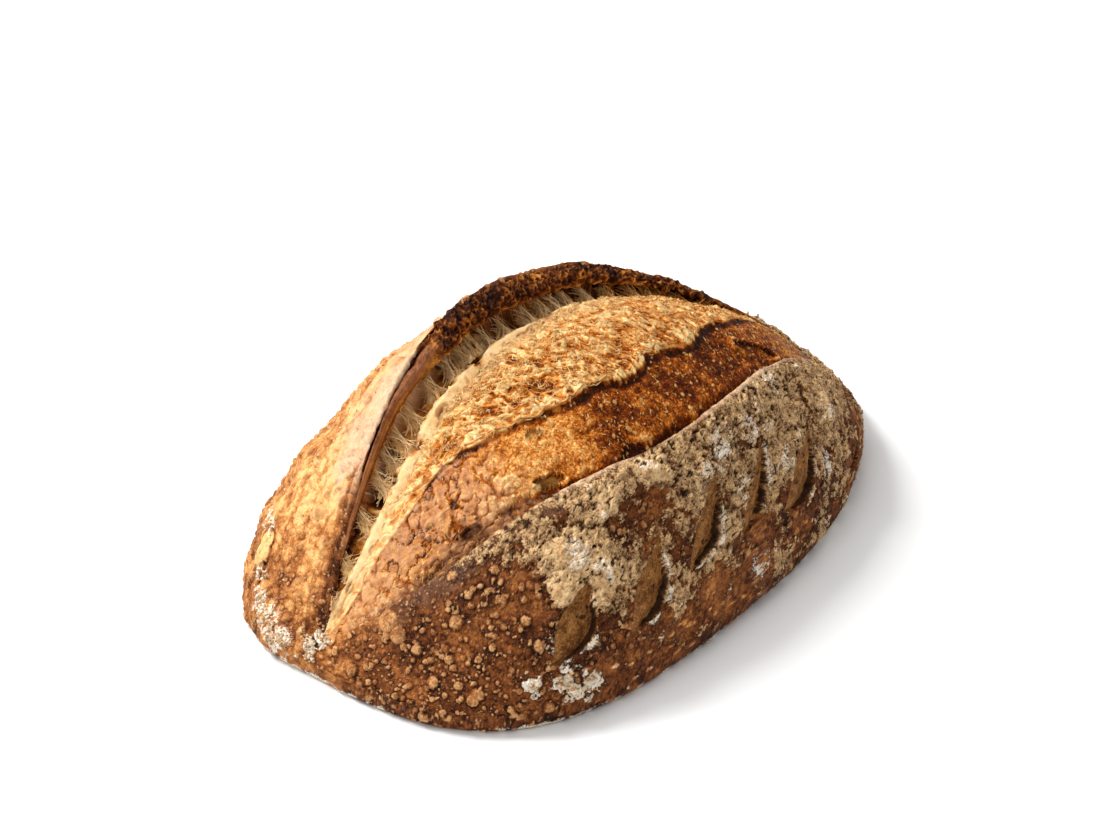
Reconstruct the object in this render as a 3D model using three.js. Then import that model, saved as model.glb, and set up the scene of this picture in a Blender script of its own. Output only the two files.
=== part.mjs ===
import * as THREE from 'three';

// A hand-shaped oval sourdough loaf: one closed solid with a long off-centre
// slash that has opened into a bloom, a raised ear along one side of it, and
// leaf-shaped cuts down both flanks. +X runs along the loaf, +Z up, and the
// origin is the middle of its flat underside. All lengths in millimetres.

// Body
const NEAR_REACH = 137;
const FAR_REACH = 141;
const HALF_WIDTH = 81.4;
const DOME_HEIGHT = 92;
const SHOULDER_HEIGHT = 7.5;
const BASE_INSET = 2.5;
const NEAR_PLAN_POWER = 2.9;
const FAR_PLAN_POWER = 2.25;
const SECTION_POWER = 2;
const CROWN_POWER = 1.17;
const PLAN_TAPER = -0.112;
const PLAN_SKEW = -0.03;
const CROWN_LEAN = -0.054;

// Long slash, from the near tip to the far tip
const NEAR_TIP = { x: -130.5, y: 11.3 };
const FAR_TIP = { x: 94.7, y: -39.2 };
const FLOURED_EDGE = { bulge: 141, near: 0.63, far: 1.13 };
const EAR_EDGE = { bulge: 104, near: 0.89, far: 0.5 };

// Ear
const EAR_RISE = 15.5;
const EAR_SWEEP = { near: 1.12, far: 1.9 };
const EAR_RAMP = 42;

// Crumb gap under the ear: its width, the slash width at which it is fully
// open, and its section from the bloom to the crest as [across, down] from the
// crest. The section passes the valley, the recess under the ear and its lip.
const CRUMB_GAP = 13.4;
const FULL_OPENING = 62;
const GAP_PROFILE = [[-12, 14.5], [-9.5, 17.5], [-6, 17], [-2.5, 14], [-3.2, 10.5],
  [-6.2, 8.8], [-7.6, 6.5], [-6.6, 3.4], [-3.2, 0.9]];
const LOW_EAR_DEPTH = 0.45;

// Bloom: sunk below the ledge of floured crust and towards the crumb, with a
// torn upper layer whose edge runs over it
const LEDGE_STEP = 2.5;
const BLOOM_SINK = 4;
const LAYER_STEP = 2.8;
const LAYER_SLOPE = 0.06;
const LAYER_EDGE = { middle: 0.325, nearRise: 0.42, farRise: 0.47, waver: 0.04 };

// Leaf cuts on the flanks: each middle as [along the loaf, height]
const LEAF_LENGTH = 29;
const LEAF_WIDTH = 11;
const LEAF_DEPTH = 4;
const LEAF_ANGLE = 0.72;
const LEAF_STEEPNESS = 1.6;
const FRONT_LEAVES = [[-91, 32], [-63.5, 34], [-27.5, 42], [1.5, 41], [31, 35], [76, 22]];
const BACK_LEAVES = [[-108, 25], [-72, 36], [-36, 42], [2, 43], [40, 39], [76, 29]];

// Hand-made unevenness
const LUMPS = [{ size: 46, height: 1.5 }, { size: 17, height: 0.9 }, { size: 8, height: 0.55 }];
const BLOOM_LUMPINESS = 0.8;
const SEED = 20;

// Grid
const SIDE_COLUMNS = 72;
const SHOULDER_ROWS = 4;
const FLANK_ROWS = 19;
const BLOOM_ROWS = 13;
const FIRST_BLOOM_STEP = 0.25;
const FAR_TIP_ANGLE = -0.48;
const NEAR_TIP_ANGLE = Math.PI - 0.03;
const FLANK_SWEEP = 1.3;

function clamp01(value) {
  return Math.min(Math.max(value, 0), 1);
}

function smoothStep(value) {
  const t = clamp01(value);
  return t * t * (3 - 2 * t);
}

function signedPower(value, power) {
  return Math.sign(value) * Math.abs(value) ** power;
}

// A repeatable pseudo-random number from 0 to 1 for a lattice corner.
function cornerValue(i, j, k, seed) {
  const mixed = Math.sin(i * 127.1 + j * 311.7 + k * 74.7 + seed * 19.19) * 43758.5453;
  return mixed - Math.floor(mixed);
}

// Smooth noise from -1 to 1: corner values blended across each unit cell.
function smoothNoise(x, y, z, seed) {
  const [i, j, k] = [Math.floor(x), Math.floor(y), Math.floor(z)];
  const [u, v, w] = [smoothStep(x - i), smoothStep(y - j), smoothStep(z - k)];
  let sum = 0;
  for (let corner = 0; corner < 8; corner += 1) {
    const [a, b, c] = [corner & 1, (corner >> 1) & 1, corner >> 2];
    const weight = (a ? u : 1 - u) * (b ? v : 1 - v) * (c ? w : 1 - w);
    sum += weight * cornerValue(i + a, j + b, k + c, seed);
  }
  return 2 * sum - 1;
}

function lumpHeight(point) {
  let height = 0;
  LUMPS.forEach((lump, index) => {
    const p = point.clone().divideScalar(lump.size);
    height += lump.height * smoothNoise(p.x, p.y, p.z, SEED + index);
  });
  return height;
}

// The loaf's half length and the power of its plan curve, towards either end.
function endShape(x) {
  return x < 0
    ? { reach: NEAR_REACH, power: NEAR_PLAN_POWER }
    : { reach: FAR_REACH, power: FAR_PLAN_POWER };
}

// Widest outline: half superellipses, wider towards the near end and skewed.
function planPoint(angle) {
  const end = endShape(Math.cos(angle));
  const run = signedPower(Math.cos(angle), 2 / end.power);
  const side = HALF_WIDTH * signedPower(Math.sin(angle), 2 / end.power);
  const x = end.reach * run;
  return new THREE.Vector2(x, side * (1 + PLAN_TAPER * run) + PLAN_SKEW * x);
}

// Height of the uncut dome over a plan point.
function domeHeight(x, y) {
  const end = endShape(x);
  const run = THREE.MathUtils.clamp(x / end.reach, -1, 1);
  const fall = 1 - Math.abs(run) ** end.power;
  const halfWidth = HALF_WIDTH * fall ** (1 / end.power) * (1 + PLAN_TAPER * run);
  const across = clamp01(Math.abs(y - PLAN_SKEW * x) / Math.max(halfWidth, 1e-6));
  const crown = fall ** CROWN_POWER * (1 + CROWN_LEAN * run);
  const section = (1 - across ** SECTION_POWER) ** (1 / SECTION_POWER);
  return SHOULDER_HEIGHT + (DOME_HEIGHT - SHOULDER_HEIGHT) * crown * section;
}

// The slash at a fraction s of its run: both edges, and how fully it has opened.
function slashAt(s) {
  const x = THREE.MathUtils.lerp(NEAR_TIP.x, FAR_TIP.x, s);
  const chord = THREE.MathUtils.lerp(NEAR_TIP.y, FAR_TIP.y, s);
  const spread = (edge) => edge.bulge * s ** edge.near * (1 - s) ** edge.far;
  const floured = chord - spread(FLOURED_EDGE);
  const ear = chord + spread(EAR_EDGE);
  return { x, floured, ear, open: smoothStep((ear - floured) / FULL_OPENING) };
}

// The ear lifts off the dome, most at a point nearer to the near tip.
function earRise(s) {
  const sweep = (t) => t ** EAR_SWEEP.near * (1 - t) ** EAR_SWEEP.far;
  const highest = EAR_SWEEP.near / (EAR_SWEEP.near + EAR_SWEEP.far);
  return EAR_RISE * sweep(s) / sweep(highest);
}

// Where the torn upper layer of the bloom ends, as a fraction across the bloom.
function layerEdge(s) {
  const near = LAYER_EDGE.nearRise * Math.exp(-(((s - 0.1) / 0.2) ** 2));
  const far = LAYER_EDGE.farRise * smoothStep((s - 0.6) / 0.5);
  const waver = LAYER_EDGE.waver * smoothNoise(14 * s, 0, 0, SEED + LUMPS.length);
  return LAYER_EDGE.middle + near + far + waver;
}

function bloomPoint(slash, s, across) {
  const edge = slash.ear - CRUMB_GAP * slash.open;
  const y = THREE.MathUtils.lerp(slash.floured, edge, across);
  const ledge = -LEDGE_STEP * (1 - across) ** 3;
  const shoulder = -BLOOM_SINK * across ** 4;
  const layer = LAYER_STEP * smoothStep((across - layerEdge(s)) / LAYER_SLOPE + 0.5);
  const lift = slash.open * (ledge + shoulder + layer * (1 - across));
  return new THREE.Vector3(slash.x, y, domeHeight(slash.x, y) + lift);
}

function gapPoint(slash, s, [across, down]) {
  const crest = domeHeight(slash.x, slash.ear) + earRise(s);
  const share = THREE.MathUtils.lerp(LOW_EAR_DEPTH, 1, earRise(s) / EAR_RISE);
  const depth = down * slash.open * share;
  return new THREE.Vector3(slash.x, slash.ear + across * slash.open, crest - depth);
}

// The flanks: from the plan outline up to the slash's edge on the same side.
function flankPoint(angle, s, earSide, up) {
  const outline = planPoint(angle);
  const slash = slashAt(s);
  const edge = new THREE.Vector2(slash.x, earSide ? slash.ear : slash.floured);
  const inward = (1 - Math.cos(FLANK_SWEEP * up)) / (1 - Math.cos(FLANK_SWEEP));
  const plan = outline.clone().lerp(edge, inward);
  const toEdge = plan.distanceTo(edge);
  const rise = earSide ? earRise(s) * clamp01(1 - toEdge / EAR_RAMP) ** 2 : 0;
  return new THREE.Vector3(plan.x, plan.y, domeHeight(plan.x, plan.y) + rise);
}

// The rounded shoulder under the widest line, down to the flat underside.
function shoulderPoint(angle, up) {
  const outline = planPoint(angle);
  const turn = (1 - up) * Math.PI / 2;
  const inset = BASE_INSET * (1 - Math.cos(turn));
  const plan = outline.clone().multiplyScalar(1 - inset / outline.length());
  return new THREE.Vector3(plan.x, plan.y, SHOULDER_HEIGHT * (1 - Math.sin(turn)));
}

// Depth of the leaf cuts: steep on the side that faces down and forward.
function leafDepth(point) {
  const leaves = point.y < 0 ? FRONT_LEAVES : BACK_LEAVES;
  let depth = 0;
  for (const [x, z] of leaves) {
    const [dx, dz] = [point.x - x, point.z - z];
    const along = (dx * Math.cos(LEAF_ANGLE) + dz * Math.sin(LEAF_ANGLE)) / (LEAF_LENGTH / 2);
    const aside = (dx * Math.sin(LEAF_ANGLE) - dz * Math.cos(LEAF_ANGLE)) / (LEAF_WIDTH / 2);
    const reach = Math.max(1 - along * along, 0);
    const fill = clamp01((reach - Math.abs(aside)) * LEAF_STEEPNESS);
    depth = Math.max(depth, LEAF_DEPTH * fill * THREE.MathUtils.lerp(0.7, 1, clamp01(aside + 0.5)));
  }
  return depth;
}

const columnCount = 2 * SIDE_COLUMNS;
const flankTop = SHOULDER_ROWS + FLANK_ROWS;

function columnSetting(column) {
  const earSide = column <= SIDE_COLUMNS;
  const part = (earSide ? column : column - SIDE_COLUMNS) / SIDE_COLUMNS;
  const s = 0.5 + (earSide ? 0.5 : -0.5) * Math.cos(Math.PI * part);
  const from = earSide ? FAR_TIP_ANGLE : NEAR_TIP_ANGLE;
  const to = earSide ? NEAR_TIP_ANGLE : FAR_TIP_ANGLE + 2 * Math.PI;
  return { s, earSide, angle: THREE.MathUtils.lerp(from, to, part) };
}

// Ring rows: row 0 is the rim of the underside and the last is the slash's edge.
function ringPoints() {
  const rows = [];
  for (let row = 0; row <= flankTop; row += 1) {
    const ring = [];
    for (let column = 0; column < columnCount; column += 1) {
      const { s, earSide, angle } = columnSetting(column);
      const point = row < SHOULDER_ROWS
        ? shoulderPoint(angle, row / SHOULDER_ROWS)
        : flankPoint(angle, s, earSide, (row - SHOULDER_ROWS) / FLANK_ROWS);
      ring.push(point);
    }
    rows.push(ring);
  }
  return rows;
}

// Outward direction at a ring point, from its four neighbours.
function ringNormal(rows, row, column) {
  const next = rows[row][(column + 1) % columnCount];
  const last = rows[row][(column + columnCount - 1) % columnCount];
  const above = rows[Math.min(row + 1, flankTop)][column];
  const below = rows[Math.max(row - 1, 0)][column];
  const around = next.clone().sub(last);
  return around.cross(above.clone().sub(below)).normalize();
}

function weatheredRings() {
  const rows = ringPoints();
  return rows.map((ring, row) => ring.map((point, column) => {
    if (row === 0) {
      return point.clone();
    }
    const relief = lumpHeight(point) - leafDepth(point);
    const steady = row < SHOULDER_ROWS ? row / SHOULDER_ROWS : 1;
    const moved = point.clone().addScaledVector(ringNormal(rows, row, column), relief * steady);
    moved.z = Math.max(moved.z, point.z / 2);
    return moved;
  }));
}

// Points across the slash between its two edges, at one station.
function slashPoints(s) {
  const slash = slashAt(s);
  const points = [];
  const last = BLOOM_ROWS - 1 + FIRST_BLOOM_STEP;
  for (let row = 0; row < BLOOM_ROWS; row += 1) {
    points.push(bloomPoint(slash, s, (row + FIRST_BLOOM_STEP) / last));
  }
  GAP_PROFILE.forEach((corner) => points.push(gapPoint(slash, s, corner)));
  points.forEach((point) => {
    point.z += slash.open * BLOOM_LUMPINESS * lumpHeight(point);
  });
  return points;
}

// Middle of the widest outline, which the loaf is set over.
function outlineMiddle() {
  const outline = Array.from({ length: 720 }, (_, step) => planPoint(step * Math.PI / 360));
  return new THREE.Box2().setFromPoints(outline).getCenter(new THREE.Vector2());
}

function loafGeometry() {
  const positions = [];
  const indices = [];
  const middle = outlineMiddle();
  const addVertex = ({ x, y, z }) => positions.push(x - middle.x, y - middle.y, z) / 3 - 1;
  const addTriangle = (a, b, c) => {
    if (a !== b && b !== c && c !== a) {
      indices.push(a, b, c);
    }
  };
  const addQuad = (a, b, c, d) => {
    addTriangle(a, b, c);
    addTriangle(a, c, d);
  };

  const rings = weatheredRings().map((ring) => ring.map(addVertex));
  const underside = addVertex(new THREE.Vector3(middle.x, middle.y, 0));
  for (let column = 0; column < columnCount; column += 1) {
    const next = (column + 1) % columnCount;
    addTriangle(underside, rings[0][next], rings[0][column]);
    for (let row = 0; row < flankTop; row += 1) {
      addQuad(rings[row][column], rings[row][next], rings[row + 1][next], rings[row + 1][column]);
    }
  }

  // The slash: stations from the far tip to the near tip, each running from the
  // floured edge to the ear's crest. At a tip the whole station is one vertex.
  const top = rings[flankTop];
  const stations = [];
  for (let column = 0; column <= SIDE_COLUMNS; column += 1) {
    const floured = top[(columnCount - column) % columnCount];
    const atTip = column === 0 || column === SIDE_COLUMNS;
    const inner = slashPoints(columnSetting(column).s);
    const across = inner.map((point) => (atTip ? floured : addVertex(point)));
    stations.push([floured, ...across, top[column]]);
  }
  for (let column = 0; column < SIDE_COLUMNS; column += 1) {
    const [here, there] = [stations[column], stations[column + 1]];
    for (let row = 0; row < here.length - 1; row += 1) {
      addQuad(here[row], here[row + 1], there[row + 1], there[row]);
    }
  }

  const geometry = new THREE.BufferGeometry();
  geometry.setAttribute('position', new THREE.Float32BufferAttribute(positions, 3));
  geometry.setIndex(indices);
  geometry.computeVertexNormals();
  return geometry;
}

const crust = new THREE.MeshStandardMaterial({ color: 0xa8672c, roughness: 0.75, metalness: 0 });
const loaf = new THREE.Mesh(loafGeometry(), crust);
loaf.name = 'loaf';

const group = new THREE.Group();
group.add(loaf);

export default group;
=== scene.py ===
"""A floured, blistered sourdough loaf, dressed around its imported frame.

Shapes are worked out in millimetres as functions on grids, in the loaf's own
coordinates, and are set over the origin in metres when they become meshes.
"""
import logging
import math
from dataclasses import dataclass
from enum import Enum

import bpy
import numpy as np
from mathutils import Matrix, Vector


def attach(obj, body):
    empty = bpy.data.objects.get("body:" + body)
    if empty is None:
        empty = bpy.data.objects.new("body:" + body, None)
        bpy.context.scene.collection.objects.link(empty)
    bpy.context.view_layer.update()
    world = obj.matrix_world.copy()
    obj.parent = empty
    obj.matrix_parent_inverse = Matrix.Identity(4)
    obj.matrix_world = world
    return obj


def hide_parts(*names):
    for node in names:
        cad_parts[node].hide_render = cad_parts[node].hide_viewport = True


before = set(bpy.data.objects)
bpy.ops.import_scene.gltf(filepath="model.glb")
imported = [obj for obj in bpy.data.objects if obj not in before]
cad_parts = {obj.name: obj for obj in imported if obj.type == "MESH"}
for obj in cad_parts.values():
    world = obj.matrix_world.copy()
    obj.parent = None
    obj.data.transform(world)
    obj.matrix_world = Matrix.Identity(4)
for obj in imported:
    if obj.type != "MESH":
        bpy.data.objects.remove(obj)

Array = np.ndarray
Colour = tuple[float, float, float]

LOG = logging.getLogger("loaf")
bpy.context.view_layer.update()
MM = 0.001
SEED = 20


# --------------------------------------------------------------------------
# Small numeric tools
# --------------------------------------------------------------------------

def smooth(t: Array | float) -> Array:
    """Cubic step: 3t^2 - 2t^3 of t held between 0 and 1."""
    t = np.clip(t, 0.0, 1.0)
    return t * t * (3.0 - 2.0 * t)


def ramp(value: Array, low: float, high: float) -> Array:
    """Smooth rise from 0 at low to 1 at high (falls where high is below low)."""
    return smooth((value - low) / (high - low))


def blend(low: Array | float, high: Array | float, share: Array | float) -> Array:
    """Straight mix: low at share 0 and high at share 1."""
    return low + (high - low) * share


def unit(vectors: Array) -> Array:
    """Vectors along the last axis, scaled to length 1."""
    length = np.linalg.norm(vectors, axis=-1, keepdims=True)
    return vectors / np.maximum(length, 1e-12)


def corner(i: Array, j: Array, k: Array, seed: int) -> Array:
    """Repeatable number from 0 to 1 for a lattice corner: the fraction of a large sine."""
    mixed = np.sin(i * 127.1 + j * 311.7 + k * 74.7 + seed * 19.19) * 43758.5453
    return mixed - np.floor(mixed)


def smooth_noise(points: Array, seed: int) -> Array:
    """Value noise from -1 to 1: corner numbers blended across each unit cell.

    Args:
        points: array of shape (..., 3), in cells.
        seed: which noise.

    Returns:
        One value for each point.
    """
    base = np.floor(points)
    share = smooth(points - base)
    total = np.zeros(points.shape[:-1])
    for a in (0, 1):
        for b in (0, 1):
            for c in (0, 1):
                weight = np.abs(1 - a - share[..., 0]) * np.abs(1 - b - share[..., 1])
                weight *= np.abs(1 - c - share[..., 2])
                i, j, k = base[..., 0] + a, base[..., 1] + b, base[..., 2] + c
                total += weight * corner(i, j, k, seed)
    return 2.0 * total - 1.0


def layered_noise(points: Array, size: float, seed: int, octaves: int = 3) -> Array:
    """Sum of value noises from about -1 to 1, each half the size and 0.55 the height of the last.

    Args:
        points: array of shape (..., 3), in millimetres.
        size: cell of the coarsest noise, in millimetres.
        seed: which noise.
        octaves: how many are added.

    Returns:
        One value for each point.
    """
    total = np.zeros(points.shape[:-1])
    height, reach = 1.0, 0.0
    turned = points / size
    for octave in range(octaves):
        total += height * smooth_noise(turned, seed + 31 * octave)
        reach += height
        turned = turned[..., [1, 2, 0]] * np.array([2.0, 2.03, 1.97]) + 5.3
        height *= 0.55
    return total / reach * 1.35


def creases(points: Array, size: float, seed: int, octaves: int = 2) -> Array:
    """Ridged noise from 0 to 1: 1 minus the size of layered noise, so creases are high."""
    return 1.0 - np.clip(np.abs(layered_noise(points, size, seed, octaves)) * 2.0, 0.0, 1.0)


@dataclass(frozen=True)
class Bubbles:
    """Round bubbles strewn through a lattice of cells, one to a cell at most."""

    cell: float
    smallest: float
    largest: float
    share: float
    seed: int

    def field(self, points: Array, density: Array | float = 1.0) -> tuple[Array, Array]:
        """How far each point lies inside the bubble that covers it most.

        Inside is 1 - (distance / radius)^2, the largest over the 27 cells round the point,
        and at least -1. It is 0 at a bubble's wall.

        Args:
            points: array of shape (..., 3), in millimetres.
            density: share of the bubbles that are kept, from 0 to 1.

        Returns:
            inside, from -1 to 1, and the radius of that bubble in millimetres.
        """
        scaled = points / self.cell
        base = np.floor(scaled)
        inside = np.full(points.shape[:-1], -1.0)
        size = np.full(points.shape[:-1], self.smallest)
        for step in np.ndindex(3, 3, 3):
            cell = base + (np.array(step) - 1.0)
            i, j, k = cell[..., 0], cell[..., 1], cell[..., 2]
            spot = np.stack([corner(i, j, k, self.seed + n) for n in range(3)], axis=-1)
            pick = corner(i, j, k, self.seed + 3)
            grade = corner(i, j, k, self.seed + 4) ** 2
            radius = blend(self.smallest, self.largest, grade)
            away = ((scaled - cell - spot) ** 2).sum(-1) * self.cell**2
            here = np.where(pick < self.share * density, 1.0 - away / radius**2, -1.0)
            closer = here > inside
            inside = np.where(closer, here, inside)
            size = np.where(closer, radius, size)
        return inside, size


def cap(inside: Array) -> Array:
    """Height of a round cap over a bubble: the root of inside, 0 beyond its wall."""
    return np.sqrt(np.clip(inside, 0.0, 1.0))


def wall(inside: Array) -> Array:
    """Ring just outside a bubble's wall, from 0 to 1."""
    return ramp(inside, -0.9, -0.15) * ramp(inside, 0.12, -0.05)


# --------------------------------------------------------------------------
# The loaf's bare form
# --------------------------------------------------------------------------

@dataclass(frozen=True)
class EdgeCurve:
    """One edge of the slash: how far it bulges, and how quickly towards each tip."""

    bulge: float
    near: float
    far: float

    def spread(self, s: Array) -> Array:
        """Distance from the slash's chord: bulge * s^near * (1-s)^far."""
        return self.bulge * s**self.near * (1.0 - s) ** self.far


@dataclass(frozen=True)
class LoafForm:
    """The bare shape, in millimetres: a domed oval with one long slash along it."""

    near_reach: float = 137.0
    far_reach: float = 141.0
    half_width: float = 81.4
    dome_height: float = 92.0
    shoulder_height: float = 7.5
    base_inset: float = 2.5
    near_power: float = 2.9
    far_power: float = 2.25
    crown_power: float = 1.17
    taper: float = -0.112
    skew: float = -0.03
    lean: float = -0.054
    near_tip: tuple[float, float] = (-130.5, 11.3)
    far_tip: tuple[float, float] = (94.7, -39.2)
    floured_edge: EdgeCurve = EdgeCurve(141.0, 0.63, 1.13)
    ear_edge: EdgeCurve = EdgeCurve(104.0, 0.89, 0.5)
    ear_height: float = 15.5
    ear_sweep: tuple[float, float] = (1.12, 1.9)
    ear_ramp: float = 42.0
    full_opening: float = 62.0
    flank_sweep: float = 1.3
    far_angle: float = -0.48
    near_angle: float = math.pi - 0.03
    lumps: tuple[tuple[float, float], ...] = ((46.0, 1.5), (17.0, 0.9), (8.0, 0.55))

    def plan(self, angle: Array) -> tuple[Array, Array]:
        """Widest outline: x = reach * cos^(2/n), y = width * sin^(2/n), tapered and skewed.

        Args:
            angle: turn round the loaf, in radians.

        Returns:
            x and y.
        """
        cosine, sine = np.cos(angle), np.sin(angle)
        reach = np.where(cosine < 0, self.near_reach, self.far_reach)
        power = 2.0 / np.where(cosine < 0, self.near_power, self.far_power)
        run = np.sign(cosine) * np.abs(cosine) ** power
        side = self.half_width * np.sign(sine) * np.abs(sine) ** power
        x = reach * run
        return x, side * (1.0 + self.taper * run) + self.skew * x

    def middle(self) -> Array:
        """Middle of the widest outline's box, which the loaf is set over."""
        x, y = self.plan(np.arange(720) * math.pi / 360)
        return np.array([x.min() + x.max(), y.min() + y.max(), 0.0]) / 2.0

    def dome(self, x: Array, y: Array) -> Array:
        """Height of the uncut dome: shoulder + crown(x) * sqrt(1 - (y/width(x))^2)."""
        reach = np.where(x < 0, self.near_reach, self.far_reach)
        power = np.where(x < 0, self.near_power, self.far_power)
        run = np.clip(x / reach, -1.0, 1.0)
        fall = np.maximum(1.0 - np.abs(run) ** power, 0.0)
        width = self.half_width * fall ** (1.0 / power) * (1.0 + self.taper * run)
        across = np.clip(np.abs(y - self.skew * x) / np.maximum(width, 1e-6), 0.0, 1.0)
        crown = fall**self.crown_power * (1.0 + self.lean * run)
        rise = self.dome_height - self.shoulder_height
        return self.shoulder_height + rise * crown * np.sqrt(1.0 - across**2)

    def slash(self, s: Array) -> tuple[Array, Array, Array, Array]:
        """The slash at a share s of its run from the near tip to the far one.

        Args:
            s: share of the run, 0 to 1.

        Returns:
            x, y of the floured edge, y of the ear's edge, and how fully it has opened.
        """
        x = blend(self.near_tip[0], self.far_tip[0], s)
        chord = blend(self.near_tip[1], self.far_tip[1], s)
        floured = chord - self.floured_edge.spread(s)
        ear = chord + self.ear_edge.spread(s)
        return x, floured, ear, smooth((ear - floured) / self.full_opening)

    def ear_rise(self, s: Array) -> Array:
        """Lift of the ear off the dome: height * s^a * (1-s)^b, over its own peak."""
        near, far = self.ear_sweep
        top = near / (near + far)
        return self.ear_height * (s**near * (1 - s) ** far) / (top**near * (1 - top) ** far)

    def column(self, angle: Array) -> tuple[Array, Array]:
        """Share s of the slash that a turn round the loaf meets, and which edge.

        Args:
            angle: turn round the loaf, in radians.

        Returns:
            s, and True on the ear's side.
        """
        turn = (angle - self.far_angle) % (2.0 * math.pi)
        ear_turn = self.near_angle - self.far_angle
        ear_side = turn <= ear_turn
        back = (turn - ear_turn) / (2.0 * math.pi - ear_turn)
        part = np.where(ear_side, turn / ear_turn, back)
        return 0.5 + np.where(ear_side, 0.5, -0.5) * np.cos(math.pi * part), ear_side

    def edge(self, angle: Array) -> tuple[Array, Array]:
        """x and y of the slash's edge that a turn round the loaf meets."""
        s, ear_side = self.column(angle)
        x, floured, ear, _ = self.slash(s)
        return x, np.where(ear_side, ear, floured)

    def flank(self, angle: Array, up: Array) -> Array:
        """Flank from the outline (up 0) to the slash's edge (up 1), on the dome plus the ear.

        Args:
            angle: turns round the loaf, shape (columns,).
            up: shares of the way up, shape (rows,).

        Returns:
            Points of shape (rows, columns, 3).
        """
        outline = np.stack(self.plan(angle), axis=-1)
        edge = np.stack(self.edge(angle), axis=-1)
        inward = (1 - np.cos(self.flank_sweep * up)) / (1 - math.cos(self.flank_sweep))
        flat = blend(outline[None], edge[None], inward[:, None, None])
        s, ear_side = self.column(angle)
        near_edge = 1.0 - np.linalg.norm(flat - edge[None], axis=-1) / self.ear_ramp
        rise = np.where(ear_side, self.ear_rise(s), 0.0) * np.clip(near_edge, 0.0, 1.0) ** 2
        height = self.dome(flat[..., 0], flat[..., 1]) + rise
        return np.concatenate([flat, height[..., None]], axis=-1)

    def shoulder(self, angle: Array, up: Array) -> Array:
        """Quarter round under the widest line, from the underside (0) to the outline (1)."""
        outline = np.stack(self.plan(angle), axis=-1)[None]
        turn = ((1.0 - up) * math.pi / 2.0)[:, None, None]
        inset = self.base_inset * (1.0 - np.cos(turn))
        flat = outline * (1.0 - inset / np.linalg.norm(outline, axis=-1, keepdims=True))
        height = np.broadcast_to(self.shoulder_height * (1.0 - np.sin(turn)), flat[..., :1].shape)
        return np.concatenate([flat, height], axis=-1)

    def underside(self, angle: Array, out: Array) -> Array:
        """Flat underside, from its middle (out 0) towards its rim (out 1)."""
        rim = self.shoulder(angle, np.zeros(1))[0]
        centre = self.middle()
        return centre + (rim - centre)[None] * out[:, None, None]

    def lumpiness(self, points: Array) -> Array:
        """The hand-made unevenness: three sizes of value noise added up, in millimetres."""
        total = np.zeros(points.shape[:-1])
        for index, (size, height) in enumerate(self.lumps):
            total += height * smooth_noise(points / size, SEED + index)
        return total


# --------------------------------------------------------------------------
# Grids to meshes
# --------------------------------------------------------------------------

def grid_normals(points: Array) -> Array:
    """Unit normals of a grid: across the columns' step times the rows' step."""
    along = np.gradient(points, axis=1)
    upward = np.gradient(points, axis=0)
    return unit(np.cross(along, upward))


@dataclass
class Skin:
    """A grid of points with the masks painted on it, closed off inside the loaf."""

    points: Array
    normals: Array
    masks: dict[str, Array]
    inner_ring: Array
    pole: Array

    @staticmethod
    def rim(grid: Array) -> Array:
        """The grid's border as one loop: first row, last column, last row, first column."""
        sides = [grid[0, :-1], grid[:-1, -1], grid[-1, :0:-1], grid[:0:-1, 0]]
        return np.concatenate(sides)

    def build(self, name: str, middle: Array, material: bpy.types.Material) -> bpy.types.Object:
        """Makes the closed mesh: the grid, a ring inside its border, and a pole.

        Args:
            name: the piece's name.
            middle: point of the loaf's plan that goes over the origin, in millimetres.
            material: the piece's material.

        Returns:
            The new object, at the origin.
        """
        rows, columns = self.points.shape[:2]
        index = np.arange(rows * columns).reshape(rows, columns)
        quads = np.stack([index[:-1, :-1], index[:-1, 1:], index[1:, 1:], index[1:, :-1]], axis=-1)
        faces = [quads.reshape(-1, 4)[:, [0, 1, 2]], quads.reshape(-1, 4)[:, [0, 2, 3]]]
        outer = self.rim(index)
        inner = rows * columns + np.arange(len(outer))
        pole = rows * columns + len(outer)
        ahead_outer, ahead_inner = np.roll(outer, -1), np.roll(inner, -1)
        faces.append(np.stack([ahead_outer, outer, inner], axis=-1))
        faces.append(np.stack([ahead_outer, inner, ahead_inner], axis=-1))
        faces.append(np.stack([ahead_inner, inner, np.full_like(inner, pole)], axis=-1))

        points = np.concatenate([self.points.reshape(-1, 3), self.inner_ring, self.pole[None]])
        closing = np.repeat([[0.0, 0.0, -1.0]], len(outer) + 1, axis=0)
        normals = np.concatenate([self.normals.reshape(-1, 3), closing])
        masks = {}
        for key, mask in self.masks.items():
            flat = mask.reshape(rows * columns, *mask.shape[2:])
            masks[key] = np.concatenate([flat, np.zeros((len(outer) + 1, *flat.shape[1:]))])
        return make_mesh(name, (points - middle) * MM, np.concatenate(faces), normals, masks, material)


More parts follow.
